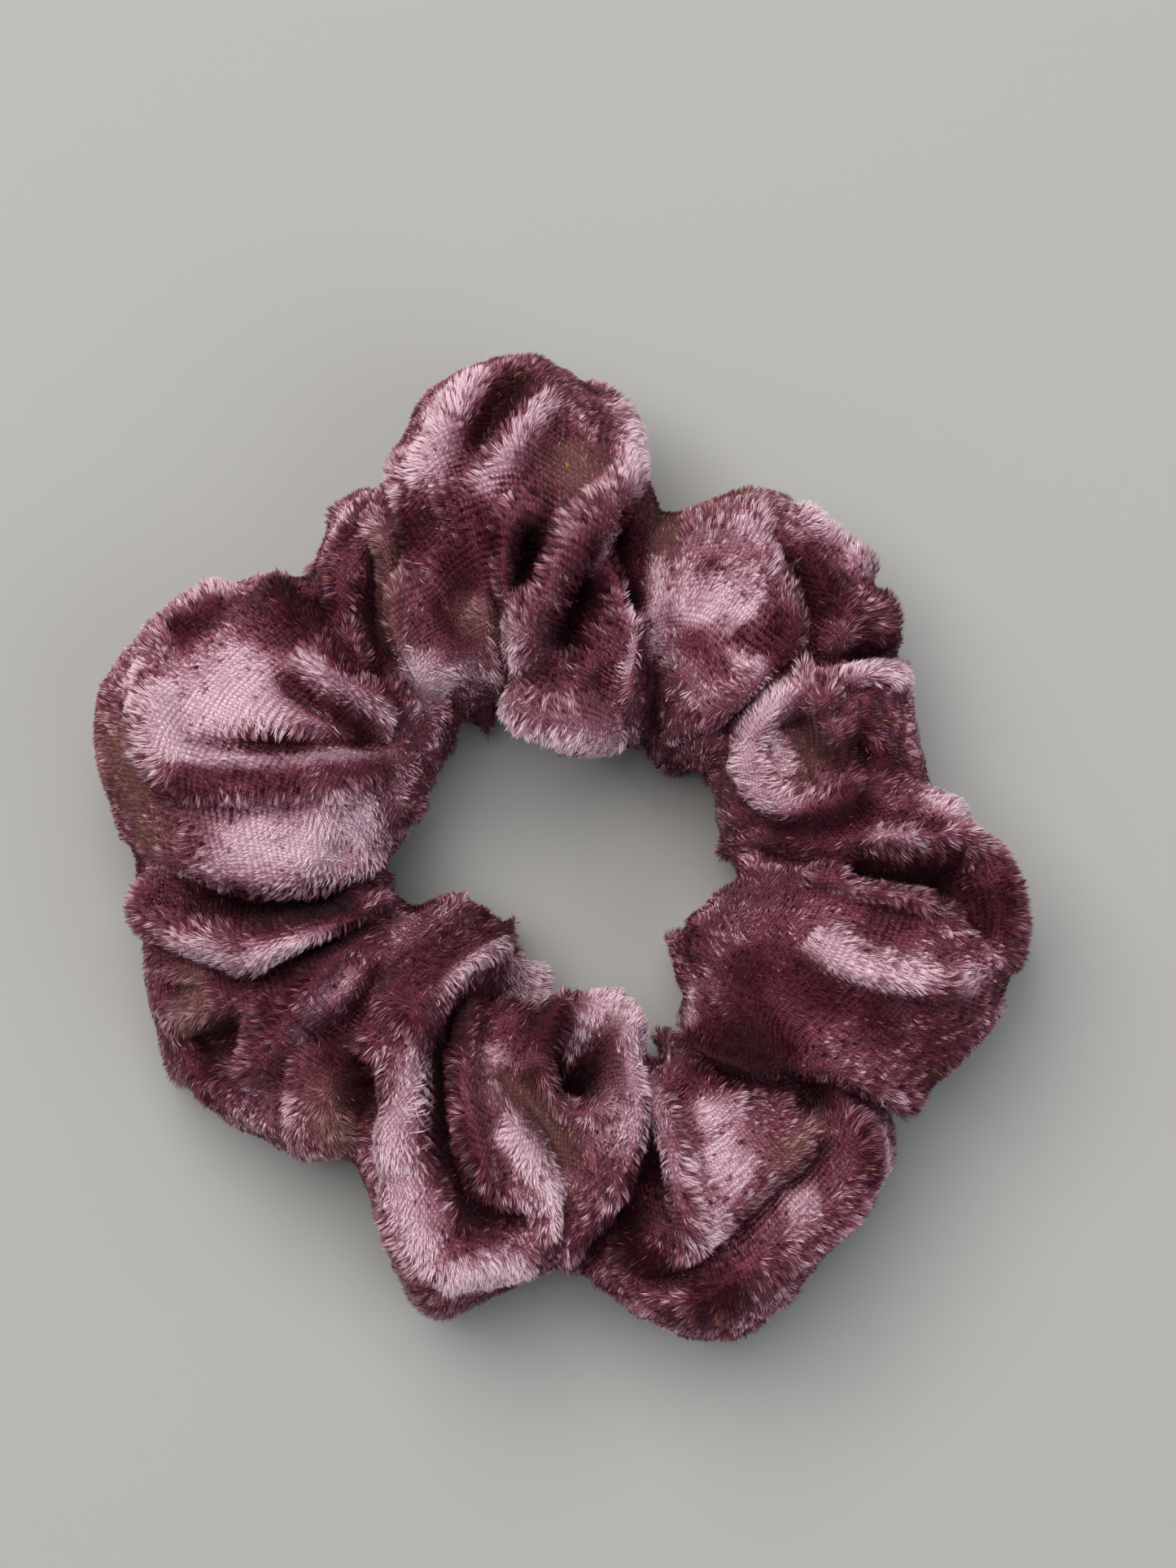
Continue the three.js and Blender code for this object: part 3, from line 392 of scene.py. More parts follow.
    (1.2, -0.8, [(64.9, 0.62), (64.2, 0.67), (61.7, 0.63)]),
    (1.4, 0.8, [(25, 0.76), (20.3, 0.84)]),
    (7.0, 0.35, [(71.7, 0.69), (62.3, 0.39), (58.7, 0.53)]),
    (5.0, 0.5, [(155.3, 0.88), (156.1, 0.7), (150.8, 0.56)]),
    (1.4, 1.0, [(268.7, 0.12), (274.7, 0.07), (282, 0.04), (286.1, 0.08)]),
    (2.6, -0.5, [(233.5, -0.27), (254.9, -0.15)]),
    (1.2, 1.0, [(100.5, 0.27), (101, 0.17), (100.7, 0.1)]),
    (1.3, 0.9, [(80.4, 0.68), (83.3, 0.54), (87.7, 0.42), (91.6, 0.32)]),
    (2.2, -2.2, [(274.1, 0.09), (275.1, 0.21)]),
    (2.4, 0.8, [(123.7, 0.34), (122.7, 0.19), (116.1, 0.1)]),
    (2.2, 0.9, [(259.4, -0.08), (241.8, -0.19)]),
    (1.4, 1.0, [(86.4, 0.99), (82.9, 0.98), (81.2, 0.9), (81.2, 0.82)]),
    (3.0, -0.5, [(336.3, 0.16), (325.5, 0.35), (314.8, 0.26)]),
    (2.0, -1.0, [(77.2, 0.87), (75.1, 0.83), (74.6, 0.71)]),
    (1.6, 0.9, [(323.8, 0.1), (317.1, 0.05), (316.9, 0.12)]),
    (1.6, 0.8, [(123.6, 0.94), (121.2, 0.92), (117.8, 0.87)]),
    (0.9, 1.7, [(159.7, 0.78), (161.7, 0.75), (162.5, 0.69), (161.5, 0.57), (158, 0.4), (151.6, 0.26),
     (143.9, 0.14)]),
    (1.6, 0.5, [(80.3, 1.17), (78.9, 1.12), (78.5, 0.98)]),
    (1.5, -1.4, [(79.5, 0.82), (78.5, 0.71), (76.9, 0.62), (74.4, 0.55)]),
    (1.2, -1.0, [(73.4, 0.5), (69.9, 0.34), (64.8, 0.15)]),
]

# Painted brown sheen, where light grazes the pile and it looks brown and glints: half-width and the points.
BROWN_SHEEN_STROKES = [
    (3.2, [(88.5, 0.82), (87.8, 0.75), (89.9, 0.65)]),
    (3.0, [(110.1, 0.22), (104.8, 0.29)]),
    (3.0, [(109.5, 0.98), (111.3, 0.96)]),
    (2.2, [(116.7, 0.82), (119.3, 0.67), (121.8, 0.52), (125.5, 0.4)]),
    (4.0, [(160.6, 0.94), (165.7, 0.92), (170.8, 0.85)]),
    (3.0, [(171.1, 0.91), (176, 0.88)]),
    (3.0, [(199.7, 0.91), (201, 0.77)]),
    (3.0, [(194.6, 0.88), (198, 0.8)]),
    (5.0, [(225.3, 0.88), (229.2, 0.82)]),
    (2.6, [(250.7, 0.24), (262.5, 0.33), (269.2, 0.48), (272.7, 0.67)]),
    (4.0, [(311.3, 0.58), (310.7, 0.68)]),
    (4.0, [(337.1, 1.01), (341.7, 1.01)]),
    (3.0, [(32.4, 0.44), (26.3, 0.48), (20.8, 0.57)]),
    (4.0, [(69.9, 0.88), (74, 0.9)]),
    (4.0, [(62.6, 0.96), (64, 0.93)]),
]


# ---- places on the cloth ----

def unit(v):
    return v / np.maximum(np.linalg.norm(v, axis=-1, keepdims=True), 1e-9)


def on_ring(degrees, distance, height):
    ring = np.radians(degrees)
    return np.stack([
        CENTRE[0] + distance * np.cos(ring),
        CENTRE[1] + distance * np.sin(ring),
        height + 0 * ring * distance,
    ], -1)


def across_angle(v):
    """The angle round the cloth's section of a place across the top, in degrees."""
    v = np.asarray(v, float)
    across = np.clip(2 * v - 1, -1, 1)
    turn = np.degrees(np.arccos(np.sign(across) * np.abs(across) ** (1 / SQUARENESS)))
    return np.where(v > 1, -90 * (v - 1), np.where(v < 0, 180 - 90 * v, turn))


def place(degrees, turn):
    """Points of the unfolded cloth tube."""
    inner, outer, top = (np.interp(degrees, ROW_DEGREES, e, period=360) for e in (INNER, OUTER, TOP))
    cos, sin = np.cos(np.radians(turn)), np.sin(np.radians(turn))
    across = np.sign(cos) * np.abs(cos) ** SQUARENESS
    up = np.sign(sin) * np.abs(sin) ** SQUARENESS
    rise = (top + BASE_DROP) / 2
    distance = (inner + outer) / 2 + ((outer - inner) / 2 - PILE_STAND) * across
    return on_ring(degrees, distance, np.maximum(0, top - rise + (rise - PILE_STAND) * up))


def columns():
    """The angles round the section at which the cloth has a vertex, underside to underside."""
    return np.concatenate([
        np.linspace(-112, -28, 22, endpoint=False),
        np.linspace(-28, 205, 112, endpoint=False),
        np.linspace(205, 244, 14),
    ])


def normals_of(grid):
    along = np.roll(grid, -1, 0) - np.roll(grid, 1, 0)
    return unit(np.cross(along, np.gradient(grid, axis=1)))


def below_sight(p):
    """Points read from above on the level of the tunnel, moved to where the same lines of
    sight from the camera meet the cloth."""
    spot = place(p[:, 0], p[:, 1])
    near = 1 - (spot[:, 2:] - VIEW_AIM[2]) / VIEW_DISTANCE
    flat = (spot[:, :2] - VIEW_AIM[:2]) * near + VIEW_AIM[:2] - CENTRE
    degrees = np.degrees(np.arctan2(flat[:, 1], flat[:, 0]))
    degrees = p[:, 0] + (degrees - p[:, 0] + 180) % 360 - 180
    inner, outer = (np.interp(degrees, ROW_DEGREES, e, period=360) for e in (INNER, OUTER))
    half = (outer - inner) / 2 - PILE_STAND
    across = (np.linalg.norm(flat, axis=1) - (inner + outer) / 2) / half
    on_top = (p[:, 1] > 8) & (p[:, 1] < 172)
    turn = across_angle((np.clip(across, -0.99, 0.99) + 1) / 2)
    return np.stack([degrees, np.where(on_top, turn, p[:, 1])], -1)


def trace(points):
    """A smooth line over the cloth through a fold's points."""
    p = np.array(points, float)
    p[:, 0] = np.unwrap(p[:, 0], period=360)
    p = below_sight(np.stack([p[:, 0], across_angle(p[:, 1])], -1))
    ends = np.concatenate([[2 * p[0] - p[1]], p, [2 * p[-1] - p[-2]]])
    t = np.linspace(0, 1, 14, endpoint=False)[:, None]
    line = []
    for a, b, c, d in zip(ends, ends[1:], ends[2:], ends[3:]):
        square = (2 * a - 5 * b + 4 * c - d) * t**2
        cube = (3 * b - a - 3 * c + d) * t**3
        line.append(0.5 * (2 * b + (c - a) * t + square + cube))
    line = np.concatenate(line + [p[-1:]])
    return place(line[:, 0], line[:, 1])


def sideways(line):
    """Across a line along the cloth: a unit vector at each of its points."""
    ring = np.degrees(np.arctan2(line[:, 1] - CENTRE[1], line[:, 0] - CENTRE[0]))
    middle = on_ring(ring, TUBE_RADIUS, TUBE_HEIGHT)
    return unit(np.cross(np.gradient(line, axis=0), line - middle))


def beside(base, line, reach):
    """The cloth's points near a line: which they are, how far off, and the nearest line point."""
    seen = ((base > line.min(0) - reach) & (base < line.max(0) + reach)).all(-1)
    ids, pts = np.argwhere(seen), base[seen]
    gap = np.linalg.norm(pts[:, None] - line[None], axis=-1)
    near = gap.argmin(1)
    dist = gap[np.arange(len(pts)), near]
    keep = dist < reach
    return tuple(ids[keep].T), pts[keep], dist[keep], near[keep]


def fade(near, line, end=0.18):
    """1 along most of a fold, and almost nothing at its two ends."""
    along = near / (len(line) - 1)
    t = np.clip(np.minimum(along, 1 - along) / end, 0, 1)
    return 0.15 + 0.85 * t * t * (3 - 2 * t)


def smooth_noise(shape, along, over, rng):
    """Noise that is periodic round the ring, with that many waves along it and across it."""
    f = np.fft.rfft2(rng.standard_normal(shape))
    ky = np.fft.fftfreq(shape[0], 1 / shape[0])[:, None]
    kx = np.fft.rfftfreq(shape[1], 1 / shape[1])[None]
    f *= np.exp(-(ky / along) ** 2 - (kx / over) ** 2)
    n = np.fft.irfft2(f, shape)
    return (n - n.mean()) / n.std()


def relax(grid, times, share):
    """The cloth with each point drawn that share of the way to its neighbours, so often."""
    for _ in range(times):
        mean = (np.roll(grid, 1, 0) + np.roll(grid, -1, 0)) / 2
        mean[:, 1:-1] = (mean[:, 1:-1] + (grid[:, 2:] + grid[:, :-2]) / 2) / 2
        grid = grid + share * (mean - grid)
    return grid


# ---- shaping the cloth ----

FOLD_GAIN, LIP_GAIN, CLEFT_GAIN = 1.35, 1.2, 1.3  # for what relaxing takes off each
LAP_REACH = 16  # how far from its line an overlap still shapes the cloth
LIP_RUN, CLEFT_RUN, CLEFT_MIDDLE = 6, 1.8, 0.8  # how far they run, and how far off the line
EDGE = 0.35  # how soft the step between lip and cleft is
HIGHEST, DEEPEST = 11, 15  # that folds together reach
PLEAT_WAVES, PLEAT_HEIGHT = (34, 2.2), 1.5  # the gathers on the sides and underside
CRUMPLE_WAVES, CRUMPLE_HEIGHT = (60, 12), 0.16
CREST, SIDE_START, SIDE_RUN = 90, 92, 25  # degrees round the section


def raise_folds(base, height):
    for width, tall, points in FOLDS:
        line = trace(points)
        ids, _, dist, near = beside(base, line, 3.2 * width)
        ridge = np.exp(-(dist / width / 1.2) ** 4)
        valley = 1 / (1 + (dist / width) ** 3) ** 2
        height[ids] += FOLD_GAIN * tall * (ridge if tall > 0 else valley) * fade(near, line)


def lay_over(base, height, shift):
    """Overlaps: a lip on the raised side of a line, leaning out over a cleft on the other."""
    for tall, lean, deep, raised, points in LAPS:
        line = trace(points)
        across = sideways(line)
        high = place(np.array([raised[0]]), across_angle([raised[1]]))[0] - line
        nearest = (high ** 2).sum(-1).argmin()
        across *= np.sign(high[nearest] @ across[nearest])
        ids, pts, dist, near = beside(base, line, LAP_REACH)
        d = dist * np.sign(((pts - line[near]) * across[near]).sum(-1))
        lip = LIP_GAIN * tall * np.exp(-np.clip(d, 0, None) / LIP_RUN) / (1 + np.exp(-d / EDGE))
        off = np.abs(np.clip(d, None, 0) + CLEFT_MIDDLE)
        cleft = -CLEFT_GAIN * deep * np.exp(-off / CLEFT_RUN) / (1 + np.exp(d / EDGE))
        end = fade(near, line, 0.12)
        height[ids] += (lip + cleft) * end
        over = lean * np.exp(-np.abs(d - 0.6) / 1.6) / (1 + np.exp(-d / 0.5)) * end
        shift[ids] -= over[:, None] * across[near]


def sink_hollows(base, height):
    for degrees, v, half_along, half_over, deep in HOLLOWS:
        spot = place(np.array([degrees]), across_angle(np.array([v])))[0]
        out = base - spot
        a = np.radians(degrees)
        along = out @ np.array([-math.sin(a), math.cos(a), 0])
        over = np.sqrt(np.maximum((out ** 2).sum(-1) - along ** 2, 0))
        height -= deep * np.exp(-(along / half_along) ** 2 - (over / half_over) ** 2)


def painted(base, strokes):
    """How strong a list's strokes are at each point of the cloth."""
    amount = np.zeros(base.shape[:2])
    for width, much, points in strokes:
        line = trace(points)
        ids, _, dist, near = beside(base, line, 2.4 * width)
        amount[ids] += much * np.exp(-(dist / width) ** 2) * fade(near, line)
    return amount


def sculpt():
    """The gathered cloth, and the painted light and shade and the painted brown sheen of its pile: (rows,
    columns) grids.
    """
    rng = np.random.default_rng(7)
    turn = columns()
    base = place(ROW_DEGREES[:, None] + 0 * turn, turn[None] + 0 * ROW_DEGREES[:, None])
    size = base.shape[:2]
    normal = normals_of(base)
    height, shift = np.zeros(size), np.zeros(base.shape)
    raise_folds(base, height)
    lay_over(base, height, shift)
    sink_hollows(base, height)
    limit = np.where(height > 0, HIGHEST, DEEPEST)
    height = limit * np.tanh(height / limit)
    pleats = smooth_noise(size, *PLEAT_WAVES, rng)
    crumple = smooth_noise(size, *CRUMPLE_WAVES, rng)
    hidden = np.clip((np.abs(turn[None] - CREST) - SIDE_START) / SIDE_RUN, 0, 1)
    pleated = PLEAT_HEIGHT * hidden * pleats + CRUMPLE_HEIGHT * crumple
    upward = unit(normal * (0.4, 0.4, 1))
    cloth = base + upward * height[..., None] + normal * pleated[..., None] + shift
    cloth = relax(cloth, 2, 0.5)
    table = 0.25 + 0.2 * smooth_noise(size, 30, 8, rng).clip(-1, 1)
    cloth[..., 2] = np.maximum(cloth[..., 2], table)
    return cloth, painted(base, LIGHT_AND_SHADE_STROKES), painted(base, [(w, 1, points) for w, points in BROWN_SHEEN_STROKES])


def ends_in_seam(cloth):
    """The cloth with its two long edges led up to the long seam and turned in beside it."""
    beside_seam = [(1.6, 0.6), (1.0, 1.6), (0.7, 3.4), (0.6, 5.6), (0.5, 8.0)]
    turned_in = [(0.35, -0.4), (0.5, 0.3), (1.6, 0.9), (2.9, 1.6)]  # off the seam, above it
    path = beside_seam + [(out, SEAM_HEIGHT + up) for out, up in turned_in]
    degrees = ROW_DEGREES[:, None]

    def tuck(side):
        return np.concatenate([on_ring(degrees, SEAM_RADIUS + side * out, up) for out, up in path], 1)

    return np.concatenate([tuck(1)[:, ::-1], cloth, tuck(-1)], 1)


# ---- meshes ----

def in_scene(name, mesh):
    obj = bpy.data.objects.new(name, mesh)
    bpy.context.scene.collection.objects.link(obj)
    return obj


def grid_mesh(name, grid, ring=True, section=False):
    """A mesh from a grid of points, which may close on itself round the ring and round its
    section. It is laid out for baking as the grid itself."""
    rows, cols = grid.shape[:2]
    r, c = np.meshgrid(np.arange(rows - (not ring)), np.arange(cols - (not section)), indexing="ij")
    corners = np.stack([np.stack([r + i, c + j], -1) for i, j in ((0, 0), (1, 0), (1, 1), (0, 1))], -2)
    faces = (corners[..., 0] % rows * cols + corners[..., 1] % cols).reshape(-1, 4).tolist()
    layout = corners.reshape(-1, 2) / (rows, cols)
    if not ring:
        faces += [list(range(cols)), list(range((rows - 1) * cols, rows * cols))[::-1]]
        layout = np.concatenate([layout, np.zeros((2 * cols, 2))])
    mesh = bpy.data.meshes.new(name)
    mesh.from_pydata((grid.reshape(-1, 3) * MM).tolist(), [], faces)
    mesh.uv_layers.new(name="OFBake").data.foreach_set("uv", layout.ravel().astype(np.float32))
    mesh.shade_smooth()
    return in_scene(name, mesh)


def swept(name, path, face, section, ring=False):
    """A section, as (stations, points, 2), carried along a path; face points across it."""
    ahead = np.roll(path, -1, 0) - np.roll(path, 1, 0) if ring else np.gradient(path, axis=0)
    side = unit(np.cross(face, ahead))
    face = unit(np.cross(ahead, side))
    grid = path[:, None] + face[:, None] * section[..., :1] + side[:, None] * section[..., 1:]
    return grid_mesh(name, grid, ring, True)


# ---- the pile ----

PILE_PIECES = 6
BLADES = 420000  # tufts in all
BLADE_WIDTH, BLADE_LENGTH = 0.095, 0.72
ROOT_DEPTH = 0.15  # of a tuft's root in the cloth
LEAN = -70  # the way the pile leans: degrees from the ring's direction, in the cloth
UPRIGHT, LYING = 15, 74  # least and most tilt of a tuft off the cloth's normal, in degrees
PRESSED = 86  # the same under the puffs, where the table presses the pile flat
CORNERS = 5  # points of a tuft: two at the root, two halfway, one at the tip
UP_A_TUFT = (0, 0, 0.5, 0.5, 1)


def lerp(field, r, c, a, b):
    """A grid's values between its vertices: row r and column c, and how far past them."""
    a, b = (a[:, None], b[:, None]) if field.ndim == 3 else (a, b)
    n = (r + 1) % field.shape[0]
    near = field[r, c] * (1 - b) + field[r, c + 1] * b
    far = field[n, c] * (1 - b) + field[n, c + 1] * b
    return near * (1 - a) + far * a


def roots(cloth, rng):
    """Where the tufts stand: row, column and the shares past them, denser where it is seen."""
    side, over = (np.roll(cloth, -1, 0) - cloth)[:, :-1], np.diff(cloth, axis=1)
    facing = np.cross(side, over)
    area = np.linalg.norm(facing, axis=-1)
    height = (cloth[:, :-1, 2] + cloth[:, 1:, 2]) / 2
    up = facing[..., 2] / np.maximum(area, 1e-9)
    share = area * np.where(height < 1.2, 0.22, 0.62 + 0.38 * np.clip(1.4 * up + 0.5, 0, 1))
    cells = np.cumsum(share.ravel())
    pick = np.searchsorted(cells, np.sort(rng.random(BLADES)) * cells[-1])
    pick = np.minimum(pick, cells.size - 1)
    r, c = np.divmod(pick, cloth.shape[1] - 1)
    spread = np.array([[0.24], [0.15]])  # tufts of one loop of the knit stand close together
    a, b = np.clip(0.5 + spread * rng.standard_normal((2, BLADES)), 0, 1)
    return r, c, a, b


def standing_out(cloth, normal, times, share):
    """How far the cloth stands out from its own smoothed shape."""
    return ((cloth - relax(cloth, times, share)) * normal).sum(-1)


def blades(cloth, light, brown_sheen):
    """Every tuft of the pile as five points, with what its material needs, and its row."""
    rng = np.random.default_rng(11)
    size = cloth.shape[:2]
    normal = normals_of(cloth)
    cell = roots(cloth, rng)
    r, c, _, b = cell
    root = lerp(cloth, *cell)
    n = unit(lerp(normal, *cell))
    along = unit(lerp(np.roll(cloth, -1, 0) - np.roll(cloth, 1, 0), *cell))
    along = unit(along - n * (along * n).sum(-1, keepdims=True))
    over = np.cross(n, along)

    ridge = np.clip(lerp(standing_out(cloth, normal, 14, 0.6), *cell) / 0.25, -1, 1)
    # how far down a hollow the cloth lies, for painted shade there
    sunk = np.clip(lerp(standing_out(cloth, normal, 70, 0.8), *cell) / 1.6, -1.7, 0)
    crush = smooth_noise(size, 30, 12, rng) * 0.5 + smooth_noise(size, 80, 30, rng) * 0.5
    swirl = smooth_noise(size, 12, 6, rng)
    tuft = lerp(smooth_noise(size, 200, 60, rng), *cell)
    loop = rng.standard_normal((4, *size))[:, r, c]  # tufts from one loop of the knit go together

    # how flat the pile is crushed, which tilts the tufts; the flatter, the lighter: painted sheen, with
    # painted highlights on ridges and painted shade in valleys and hollows
    flat = lerp(1.45 * light + 0.42 * crush, *cell)
    flat = flat + np.where(ridge > 0, 0.35, 0.8) * ridge - 0.22 + 0.6 * sunk

    turn = LEAN + 42 * lerp(swirl, *cell) + 10 * tuft + 11 * loop[0]
    turn = np.radians(turn + 6 * rng.standard_normal(BLADES))
    lean = np.cos(turn)[:, None] * along + np.sin(turn)[:, None] * over
    uphill = np.clip(2.2 * (lean[:, 2] - 0.3), 0, 0.85) > rng.random(BLADES)
    lean[uphill] -= 2 * over[uphill] * (over * lean).sum(-1, keepdims=True)[uphill]

    tilt = 64 + 8 * flat - 18 * ridge + 6 * loop[1] + 4 * rng.standard_normal(BLADES)
    tilt = np.radians(np.clip(tilt, UPRIGHT, LYING))
    long = BLADE_LENGTH * (1 + 0.12 * rng.standard_normal(BLADES)) * (1 + 0.1 * tuft)
    long *= 1 + 0.7 * np.clip(1.5 * ridge - 0.5, 0, 1)
    low = root[:, 2] < 1.4
    tilt[low & (n[:, 2] < 0)] = math.radians(PRESSED)
    long = np.clip(np.where(low, 0.9, long), 0.3, 2.4)

    wide = unit(np.cross(lean, n) + 0.45 * rng.standard_normal((BLADES, 1)) * n)
    half = (BLADE_WIDTH / 2 * rng.uniform(0.7, 1.3, BLADES))[:, None] * wide
    points = bent(root, n, lean, tilt, long, half)
    # a tuft's colour: its random tone, with painted light and shade from its flatness, and painted shade at
    # the sides of each knit loop
    tone_and_painted_light = 1.2 * flat - 0.6 * np.abs(b - 0.5) + 0.12 + 0.42 * loop[2] - 1.2 * (loop[3] < -1.15)
    tone_and_painted_light = tone_and_painted_light + 0.36 * rng.standard_normal(BLADES)
    return points, {"tone_and_painted_light": tone_and_painted_light, "brown_sheen": lerp(brown_sheen, *cell), "luck": rng.random(BLADES)}, r


def bent(root, n, lean, tilt, long, half):
    """Tapered tufts that bend over as they rise, kept above the table."""

    def way(angle):
        return np.cos(angle)[:, None] * n + np.sin(angle)[:, None] * lean

    mid = root + way(tilt * 0.7) * (long * 0.5)[:, None]
    tip = mid + way(tilt * 1.2) * (long * 0.5)[:, None]
    root = root - n * ROOT_DEPTH
    points = np.stack([root - half, root + half, mid - half * 0.85, mid + half * 0.85, tip], 1)
    points[..., 2] = np.maximum(points[..., 2], 0.05)
    return points


def pile_piece(name, points, facts):
    """A mesh of tufts, each with its own place in the UV layout."""
    count = len(points)
    first = np.arange(count)[:, None] * CORNERS
    loops = np.concatenate([first + [0, 1, 3, 2], first + [2, 3, 4]], 1).ravel()
    starts = (np.arange(count)[:, None] * 7 + [0, 4]).ravel()
    mesh = bpy.data.meshes.new(name)
    mesh.vertices.add(count * CORNERS)
    mesh.vertices.foreach_set("co", (points.reshape(-1) * MM).astype(np.float32))
    mesh.loops.add(count * 7)
    mesh.loops.foreach_set("vertex_index", loops.astype(np.int32))
    mesh.polygons.add(count * 2)
    mesh.polygons.foreach_set("loop_start", starts.astype(np.int32))
    mesh.update(calc_edges=True)
    mesh.shade_smooth()
    cells = math.ceil(math.sqrt(count))
    cell = np.stack(np.divmod(np.arange(count), cells)[::-1], -1)[:, None]
    corner = np.array([(.1, .1), (.9, .1), (.15, .5), (.85, .5), (.5, .9)])
    uv = ((cell + corner) / cells).reshape(-1, 2)[loops]
    mesh.uv_layers.new(name="OFBake").data.foreach_set("uv", uv.ravel().astype(np.float32))
    values = {key: np.repeat(value, CORNERS) for key, value in facts.items()}
    values["tip"] = np.tile(UP_A_TUFT, count)
    for key, value in values.items():
        mesh.attributes.new(key, "FLOAT", "POINT").data.foreach_set("value", value.astype(np.float32))
    return in_scene(name, mesh)


# ---- materials ----

class Nodes:
    """Short names for building a material's node tree."""

    def __init__(self, name, **sockets):
        self.material = bpy.data.materials.new(name)
        self.material.use_nodes = True
        self.tree = self.material.node_tree
        self.shader = self.tree.nodes["Principled BSDF"]
        for key, value in sockets.items():
            self.shader.inputs[key.replace("_", " ")].default_value = value

    def node(self, kind, **settings):
        n = self.tree.nodes.new(kind)
        for key, value in settings.items():
            setattr(n, key, value)
        return n

    def link(self, source, target):
        self.tree.links.new(source, target)

    def attribute(self, name):
        return self.node("ShaderNodeAttribute", attribute_name=name).outputs["Fac"]

    def bands(self, direction, along, over, scale, distortion=0.0):
        """Bands over the piece's own layout, stretched to its size in mm."""
        stretch = self.node("ShaderNodeVectorMath", operation="MULTIPLY")
        self.link(self.node("ShaderNodeUVMap", uv_map="OFBake").outputs[0], stretch.inputs[0])
        stretch.inputs[1].default_value = (along, over, 1)
        wave = self.node("ShaderNodeTexWave", wave_type="BANDS", bands_direction=direction)
        wave.inputs["Scale"].default_value = scale
        wave.inputs["Distortion"].default_value = distortion
        self.link(stretch.outputs[0], wave.inputs["Vector"])
        return wave.outputs["Fac"]

    def math(self, operation, *values, clamp=False):
        n = self.node("ShaderNodeMath", operation=operation, use_clamp=clamp)
        for socket, value in zip(n.inputs, values):
            if isinstance(value, (int, float)):
                socket.default_value = value
            else:
                self.link(value, socket)
        return n.outputs[0]

    def mix(self, amount, a, b, blend="MIX"):
        n = self.node("ShaderNodeMix", data_type="RGBA", blend_type=blend)
        for index, value in ((0, amount), (6, a), (7, b)):
            if isinstance(value, tuple):
                n.inputs[index].default_value = (*value, 1)
            elif isinstance(value, (int, float)):
                n.inputs[index].default_value = value
            else:
                self.link(value, n.inputs[index])
        return n.outputs[2]

    def ramp(self, value, stops):
        n = self.node("ShaderNodeValToRGB")
        while len(n.color_ramp.elements) < len(stops):
            n.color_ramp.elements.new(0.5)
        for element, (at, colour) in zip(n.color_ramp.elements, stops):
            element.position, element.color = at, (*colour, 1)
        self.link(value, n.inputs[0])
        return n.outputs[0]

    def colour(self, source):
        self.link(source, self.shader.inputs["Base Color"])
        return self.material


# The colour of the painted brown sheen, and of the painted golden glints.
BROWN_SHEEN_COLOUR, GOLD_GLINT = (0.27, 0.14, 0.11), (0.75, 0.42, 0.1)
# The velvet's ramp, from painted shade in deep wine through its own rose to painted silvery-pink sheen.
VELVET_SHADE_TO_SHEEN = [
    (0.0, (0.04, 0.004, 0.01)),
    (0.25, (0.12, 0.017, 0.034)),
    (0.5, (0.27, 0.075, 0.11)),
    (0.72, (0.56, 0.29, 0.36)),
    (1.0, (0.95, 0.72, 0.8)),
]
# The knit's loops, with painted shade between them.
KNIT_LOOP_SHADE = [(0.05, (0.45, 0.36, 0.4)), (0.4, (0.65, 0.56, 0.6)), (0.8, (0.9, 0.85, 0.88))]


def pile_colour(m):
    """The velvet's colour: its random tone, with painted highlights and painted shade, and its painted
    brown sheen.
    """
    tone_and_painted_light = m.math("MULTIPLY_ADD", m.attribute("tone_and_painted_light"), 0.36, 0.5)
    brown_sheen = m.math("MULTIPLY", m.attribute("brown_sheen"), 0.55, clamp=True)
    return m.mix(brown_sheen, m.ramp(tone_and_painted_light, VELVET_SHADE_TO_SHEEN), BROWN_SHEEN_COLOUR)


def pile_material():
    """Rose velvet with painted shade at the roots of its tufts, and painted golden glints on a few tufts
    where the painted brown sheen is.
    """
    m = Nodes("velvet_pile", Roughness=0.4, Sheen_Weight=0.12, Sheen_Roughness=0.35,
              Sheen_Tint=(1, 0.6, 0.74, 1), Specular_IOR_Level=0.2)
    # painted golden glints on a few random tufts, more of them in the painted brown sheen
    rare = m.math("GREATER_THAN", m.attribute("luck"), 0.985)
    glint = m.math("MULTIPLY", rare, m.math("MULTIPLY_ADD", m.attribute("brown_sheen"), 0.8, 0.5))
    tip = m.mix(glint, pile_colour(m), GOLD_GLINT)
    # painted shade at the tufts' roots, fading out toward their tips
    root = m.mix(1.0, tip, (0.5, 0.36, 0.42), "MULTIPLY")
    return m.colour(m.mix(m.math("POWER", m.attribute("tip"), 0.7), root, tip))


def ground_material():
    """The knit under the pile, in the pile's colours with their painted light and shade, and painted shade
    between its loops.
    """
    m = Nodes("velvet_ground", Roughness=0.8, Sheen_Weight=0.04, Specular_IOR_Level=0.15)
    wales = m.bands("X", SHEET_LENGTH, SHEET_WIDTH, 0.44, 0.4)
    courses = m.bands("Y", SHEET_LENGTH, SHEET_WIDTH, 0.5)
    loops = m.math("MULTIPLY", wales, courses)
    bump = m.node("ShaderNodeBump")
    bump.inputs["Strength"].default_value = 0.5
    bump.inputs["Distance"].default_value = 0.2 * MM
    m.link(loops, bump.inputs["Height"])
    m.link(bump.outputs[0], m.shader.inputs["Normal"])
    return m.colour(m.mix(1.0, pile_colour(m), m.ramp(loops, KNIT_LOOP_SHADE), "MULTIPLY"))


